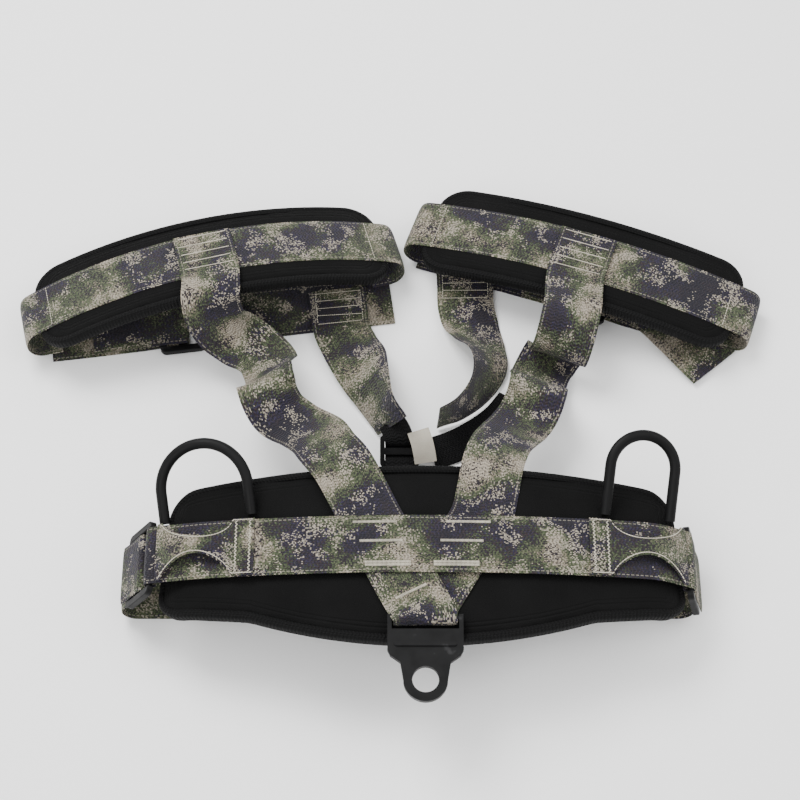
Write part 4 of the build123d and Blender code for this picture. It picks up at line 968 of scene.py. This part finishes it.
class HARNESS_OT_stage(bpy.types.Operator):
    """Makes the floor, the lamps and the camera"""
    bl_idname = "harness.stage"
    bl_label = "Stage and camera"

    def execute(self, context):
        settings = context.scene.harness_settings
        make_materials(settings.patch)
        mesh = bpy.data.meshes.new("floor")
        corners = [(x * FLOOR_HALF, y * FLOOR_HALF, FLOOR_Z)
                   for x, y in ((-1, -1), (1, -1), (1, 1), (-1, 1))]
        mesh.from_pydata(corners, [], [(0, 1, 2, 3)])
        mesh.materials.append(MATERIALS["floor"])
        floor = bpy.data.objects.new("floor", mesh)
        context.scene.collection.objects.link(floor)
        lamps = (("key", (-0.7, 0.9, 1.7), 1.0, 44.0), ("fill", (1.2, 0.1, 1.5), 1.4, 16.0),
                 ("front", (-0.6, -1.0, 1.6), 1.2, 18.0))
        for name, place, size, power in lamps:
            data = bpy.data.lights.new(name, "AREA")
            data.size, data.energy = size, power * settings.light
            lamp = bpy.data.objects.new(name, data)
            lamp.location = place
            aim = Vector((0, 0.1, 0)) - Vector(place)
            lamp.rotation_euler = aim.to_track_quat("-Z", "Y").to_euler()
            context.scene.collection.objects.link(lamp)
        world = bpy.data.worlds.new("studio")
        world.use_nodes = True
        background = world.node_tree.nodes["Background"]
        background.inputs["Color"].default_value = (1, 1, 1, 1)
        background.inputs["Strength"].default_value = 1.0
        context.scene.world = world
        camera = bpy.data.objects.new("camera", bpy.data.cameras.new("camera"))
        camera.data.lens, camera.data.sensor_width = 97.2, 36.0
        camera.location = (-0.01568, -0.67902, 1.46064)
        camera.rotation_euler = (math.radians(30.0), 0, 0)
        context.scene.collection.objects.link(camera)
        context.scene.camera = camera
        return {"FINISHED"}


class HARNESS_OT_pads(bpy.types.Operator):
    """Makes the waist pad, the two leg pads and their bindings"""
    bl_idname = "harness.pads"
    bl_label = "Pads"

    def execute(self, context):
        cap = context.scene.harness_settings.swell
        pad, loop = pad_shell("waist_pad", waist_grid, waist_surface, PAD_THICK - 1.0)
        finish_pad(pad, waist_edge_distance, cap)

        def waist_up(points):
            over = np.clip((np.abs(points[:, 0]) - END_X) / END_RADIUS, 0, 0.95)
            lean = np.sign(points[:, 0]) * np.where(over > 0, over, np.abs(points[:, 0]) / CROWN_RADIUS)
            return np.stack([lean, np.zeros(len(points)), np.sqrt(1 - lean**2)], axis=1)

        binding = pad_binding("waist_binding", loop, (0, 0, 60), PAD_THICK, waist_up)
        for piece, nodes in ((pad, ("cover", "foam", "lining")), (binding, ("binding",))):
            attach(piece, "harness")
            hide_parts(*[f"waist_pad_{node}" for node in nodes])
        for side, leg in LEGS.items():
            top = THICK + 0.8

            def surface(x, y, depth, leg=leg, top=top):
                return leg_point(leg, x, y, depth + top)

            pad, loop = pad_shell(f"leg_pad_{side}", lambda a, b, leg=leg: leg_grid(leg, a, b), surface,
                                  LEG_PAD[2] - 0.8, along=90, across=30)
            finish_pad(pad, lambda points, leg=leg: leg_edge_distance(leg, points), cap)
            origin, along, _, out = leg_frame(leg)
            _, radius, _ = leg_crown(leg)
            centre = origin + (leg["height"] - radius) * out

            def leg_up(points, centre=centre, along=along, out=out):
                spread = points - centre
                return (spread @ along)[:, None] * along + (spread @ out)[:, None] * out

            binding = pad_binding(f"leg_binding_{side}", loop, loop.mean(axis=0), LEG_PAD[2], leg_up)
            for piece, nodes in ((pad, ("cover", "foam", "lining")), (binding, ("binding",))):
                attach(piece, f"leg_{side}")
                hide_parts(*[f"leg_pad_{side}_{node}" for node in nodes])
        return {"FINISHED"}


class HARNESS_OT_webbing(bpy.types.Operator):
    """Makes every strap: belt, front straps, risers, loops, leg bands and their tails"""
    bl_idname = "harness.webbing"
    bl_label = "Webbing"

    def execute(self, context):
        ripple = context.scene.harness_settings.ripple
        level = np.array([0.0, 1.0, 0.0])
        belt = strap("web_belt", belt_route(), level)
        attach(belt, "harness")
        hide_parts("belt_webbing")
        for side, leg in LEGS.items():
            sign = SIGN[side]
            front = strap(f"web_front_{side}", front_route(side), level * sign)
            route = loop_route(side)
            run = np.abs(route[:, 0])
            bow = strap(f"web_loop_{side}", route, level * sign, width=2 * loop_half(run), columns=17)
            for piece, node in ((front, f"front_webbing_{side}"), (bow, f"side_loop_{side}")):
                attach(piece, "harness")
                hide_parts(node)
            route, across = band_route(leg)
            band = strap(f"web_leg_{side}", route, across)
            short = strap(f"web_short_{side}", *short_route(leg))
            long = strap(f"web_long_{side}", *long_route(leg), ripple=ripple)
            for piece, node in ((band, f"leg_webbing_{side}"), (short, f"leg_strap_{side}_short"),
                                (long, f"leg_strap_{side}_long")):
                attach(piece, f"leg_{side}")
                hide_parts(node)
            riser = strap(f"web_riser_{side}", *riser_route(side), ripple=ripple, cup=-0.5)
            folded = ("plate_loop",) if side == "left" else ()
            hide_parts(f"riser_{side}", f"riser_tab_{side}", *folded)
            ahead = strap(f"web_ahead_{side}", *turned(FRONT_STATIONS[side]), ripple=ripple, cup=-0.4)
            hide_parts(f"front_strap_{side}", f"front_tab_{side}")
            for piece in (riser, ahead):
                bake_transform(piece)
        link_strap = strap("web_link", *turned(LINK_STATIONS, 1.0), material="black_web",
                           slot="black_webbing", width=22, thick=1.4)
        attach(link_strap, "harness")
        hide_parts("link_strap")
        cross = strap("web_cross", *turned(CROSS_STATIONS), material="black_web", slot="black_webbing",
                      width=25, thick=1.6)
        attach(cross, "harness")
        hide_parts("cross_strap")
        return {"FINISHED"}


class HARNESS_OT_stitching(bpy.types.Operator):
    """Sews the bar tacks, seams and box stitches"""
    bl_idname = "harness.stitching"
    bl_label = "Stitching"

    def execute(self, context):
        belt, _, _, belt_run = PATHS["web_belt"]
        tacks = []
        for near, far, offset in ((18.0, 49.0, 17.0), (13.5, 44.0, 2.0), (8.5, 40.0, -14.8),
                                  (8.5, 40.0, -17.0)):
            for ends in ((-far, -near), (near, far)):
                start, stop = np.interp(ends, belt[5:-5, 0], belt_run[5:-5])
                tacks.append(rows_along("web_belt", [offset], start, stop, pitch=0.9))
        places, along, out = joined(*tacks)
        sideways = np.cross(out, along)
        line = PATHS["web_riser_left"]
        fold = int(np.argmin(line[0][:, 1]))
        up = line[3][fold + int(np.argmax(line[0][fold:, 1] > -38.0))]
        tack, side_way, above = rows_across("web_riser_left", [up], half=12.0, pitch=0.9, face=-1.0)
        places, out = np.concatenate((places, tack)), np.concatenate((out, above))
        sideways = np.concatenate((sideways, np.cross(above, side_way)))
        piece = threads("tack_belt", places, sideways, out, length=2.2, radius=0.42)
        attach(piece, "harness")
        for side, leg in LEGS.items():
            loop = f"web_loop_{side}"
            runs = np.arange(2.0, PATHS[loop][3][-1] - 4.0, 1.9)
            reach = np.abs(np.interp(runs, PATHS[loop][3], PATHS[loop][0][:, 0]))
            rims = []
            for edge in (-1.0, 1.0):
                places, _, _, out = on_strap(loop, runs, edge * (loop_half(reach) - 1.5))
                rims.append((places, np.gradient(places, axis=0), out))
            columns = [rows_across(loop, [s], half=19.5, pitch=1.5, lean=1.1) for s in (3.0, 13.0)]
            piece = threads(f"tack_loop_{side}", *joined(*columns, *rims), length=2.4, radius=0.42)
            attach(piece, "harness")
            run = PATHS[f"web_riser_{side}"][3][-1]
            rows = [rows_across(f"web_riser_{side}", [run - back], half=18.5, pitch=1.3, face=-1.0)
                    for back in RISER_TACKS]
            piece = threads(f"tack_riser_{side}", *joined(*rows), length=1.5, radius=0.45)
            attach(piece, f"leg_{side}")
            band = PATHS[f"web_leg_{side}"][3][-1]
            fold = TURNED_IN + leg["fold"] * math.pi + 9.0
            rows = rows_across(f"web_leg_{side}", [fold, band - fold], half=19.5, pitch=2.6)
            piece = threads(f"seam_leg_{side}", *rows, length=2.0, radius=0.34)
            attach(piece, f"leg_{side}")
            box = joined(rows_across(f"web_ahead_{side}", AHEAD_TACKS, half=17, pitch=1.6),
                         rows_along(f"web_ahead_{side}", [-18, 18], AHEAD_TACKS[0], AHEAD_TACKS[-1],
                                    pitch=2.2))
            piece = threads(f"tack_ahead_{side}", *box, length=1.6, radius=0.34)
            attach(piece, f"leg_{side}")
        return {"FINISHED"}


class HARNESS_OT_hardware(bpy.types.Operator):
    """Finishes the steel, plastic and cord pieces that the CAD made, and the label"""
    bl_idname = "harness.hardware"
    bl_label = "Hardware"

    def execute(self, context):
        finishes = dict.fromkeys(("frame", "bar", "socket", "tongue", "plate"), "steel")
        finishes.update(dict.fromkeys(("front", "back", "slider"), "plastic"))
        finishes.update(sleeve="sleeve", core="core", tabs="black_web")
        for name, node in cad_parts.items():
            last = name.split("_")[-1]
            if name.startswith(("side_adjuster", "leg_adjuster", "front_buckle", "attachment_plate",
                                "front_slider", "gear_loop")):
                chosen = MATERIALS[finishes[last]]
                if not node.material_slots:
                    node.data.materials.append(chosen)
                for slot in node.material_slots:
                    slot.material = chosen
                if last not in ("sleeve", "core", "tabs"):
                    bevel = node.modifiers.new("soft edges", "BEVEL")
                    bevel.width, bevel.segments, bevel.limit_method = 0.0005, 2, "ANGLE"
        label_line = spline([(4, 103, 10.5), (3, 108, 15.0), (1, 116, 19.5), (-2, 125, 21.5)], 1.0)
        label = strap("label", label_line, np.array([1.0, 0.1, 0.0]), material="label",
                      slot="label_tape", width=17.0, thick=0.5)
        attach(label, "harness")
        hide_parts("care_label")
        return {"FINISHED"}


class HARNESS_PT_panel(bpy.types.Panel):
    """Buttons and choices for building the harness"""
    bl_label = "Sit harness"
    bl_idname = "HARNESS_PT_panel"
    bl_space_type = "VIEW_3D"
    bl_region_type = "UI"
    bl_category = "Harness"

    def draw(self, context):
        for choice in ("patch", "swell", "ripple", "light"):
            self.layout.prop(context.scene.harness_settings, choice)
        for operator in OPERATORS:
            self.layout.operator(operator.bl_idname)


OPERATORS = (HARNESS_OT_stage, HARNESS_OT_webbing, HARNESS_OT_pads, HARNESS_OT_stitching,
             HARNESS_OT_hardware)
CLASSES = (HarnessSettings, *OPERATORS, HARNESS_PT_panel)


def register():
    for item in CLASSES:
        bpy.utils.register_class(item)
    bpy.types.Scene.harness_settings = bpy.props.PointerProperty(type=HarnessSettings)


def unregister():
    del bpy.types.Scene.harness_settings
    for item in reversed(CLASSES):
        bpy.utils.unregister_class(item)


def main():
    register()
    bpy.ops.harness.stage()
    bpy.ops.harness.webbing()
    bpy.ops.harness.pads()
    bpy.ops.harness.stitching()
    bpy.ops.harness.hardware()


if __name__ == "__main__":
    main()
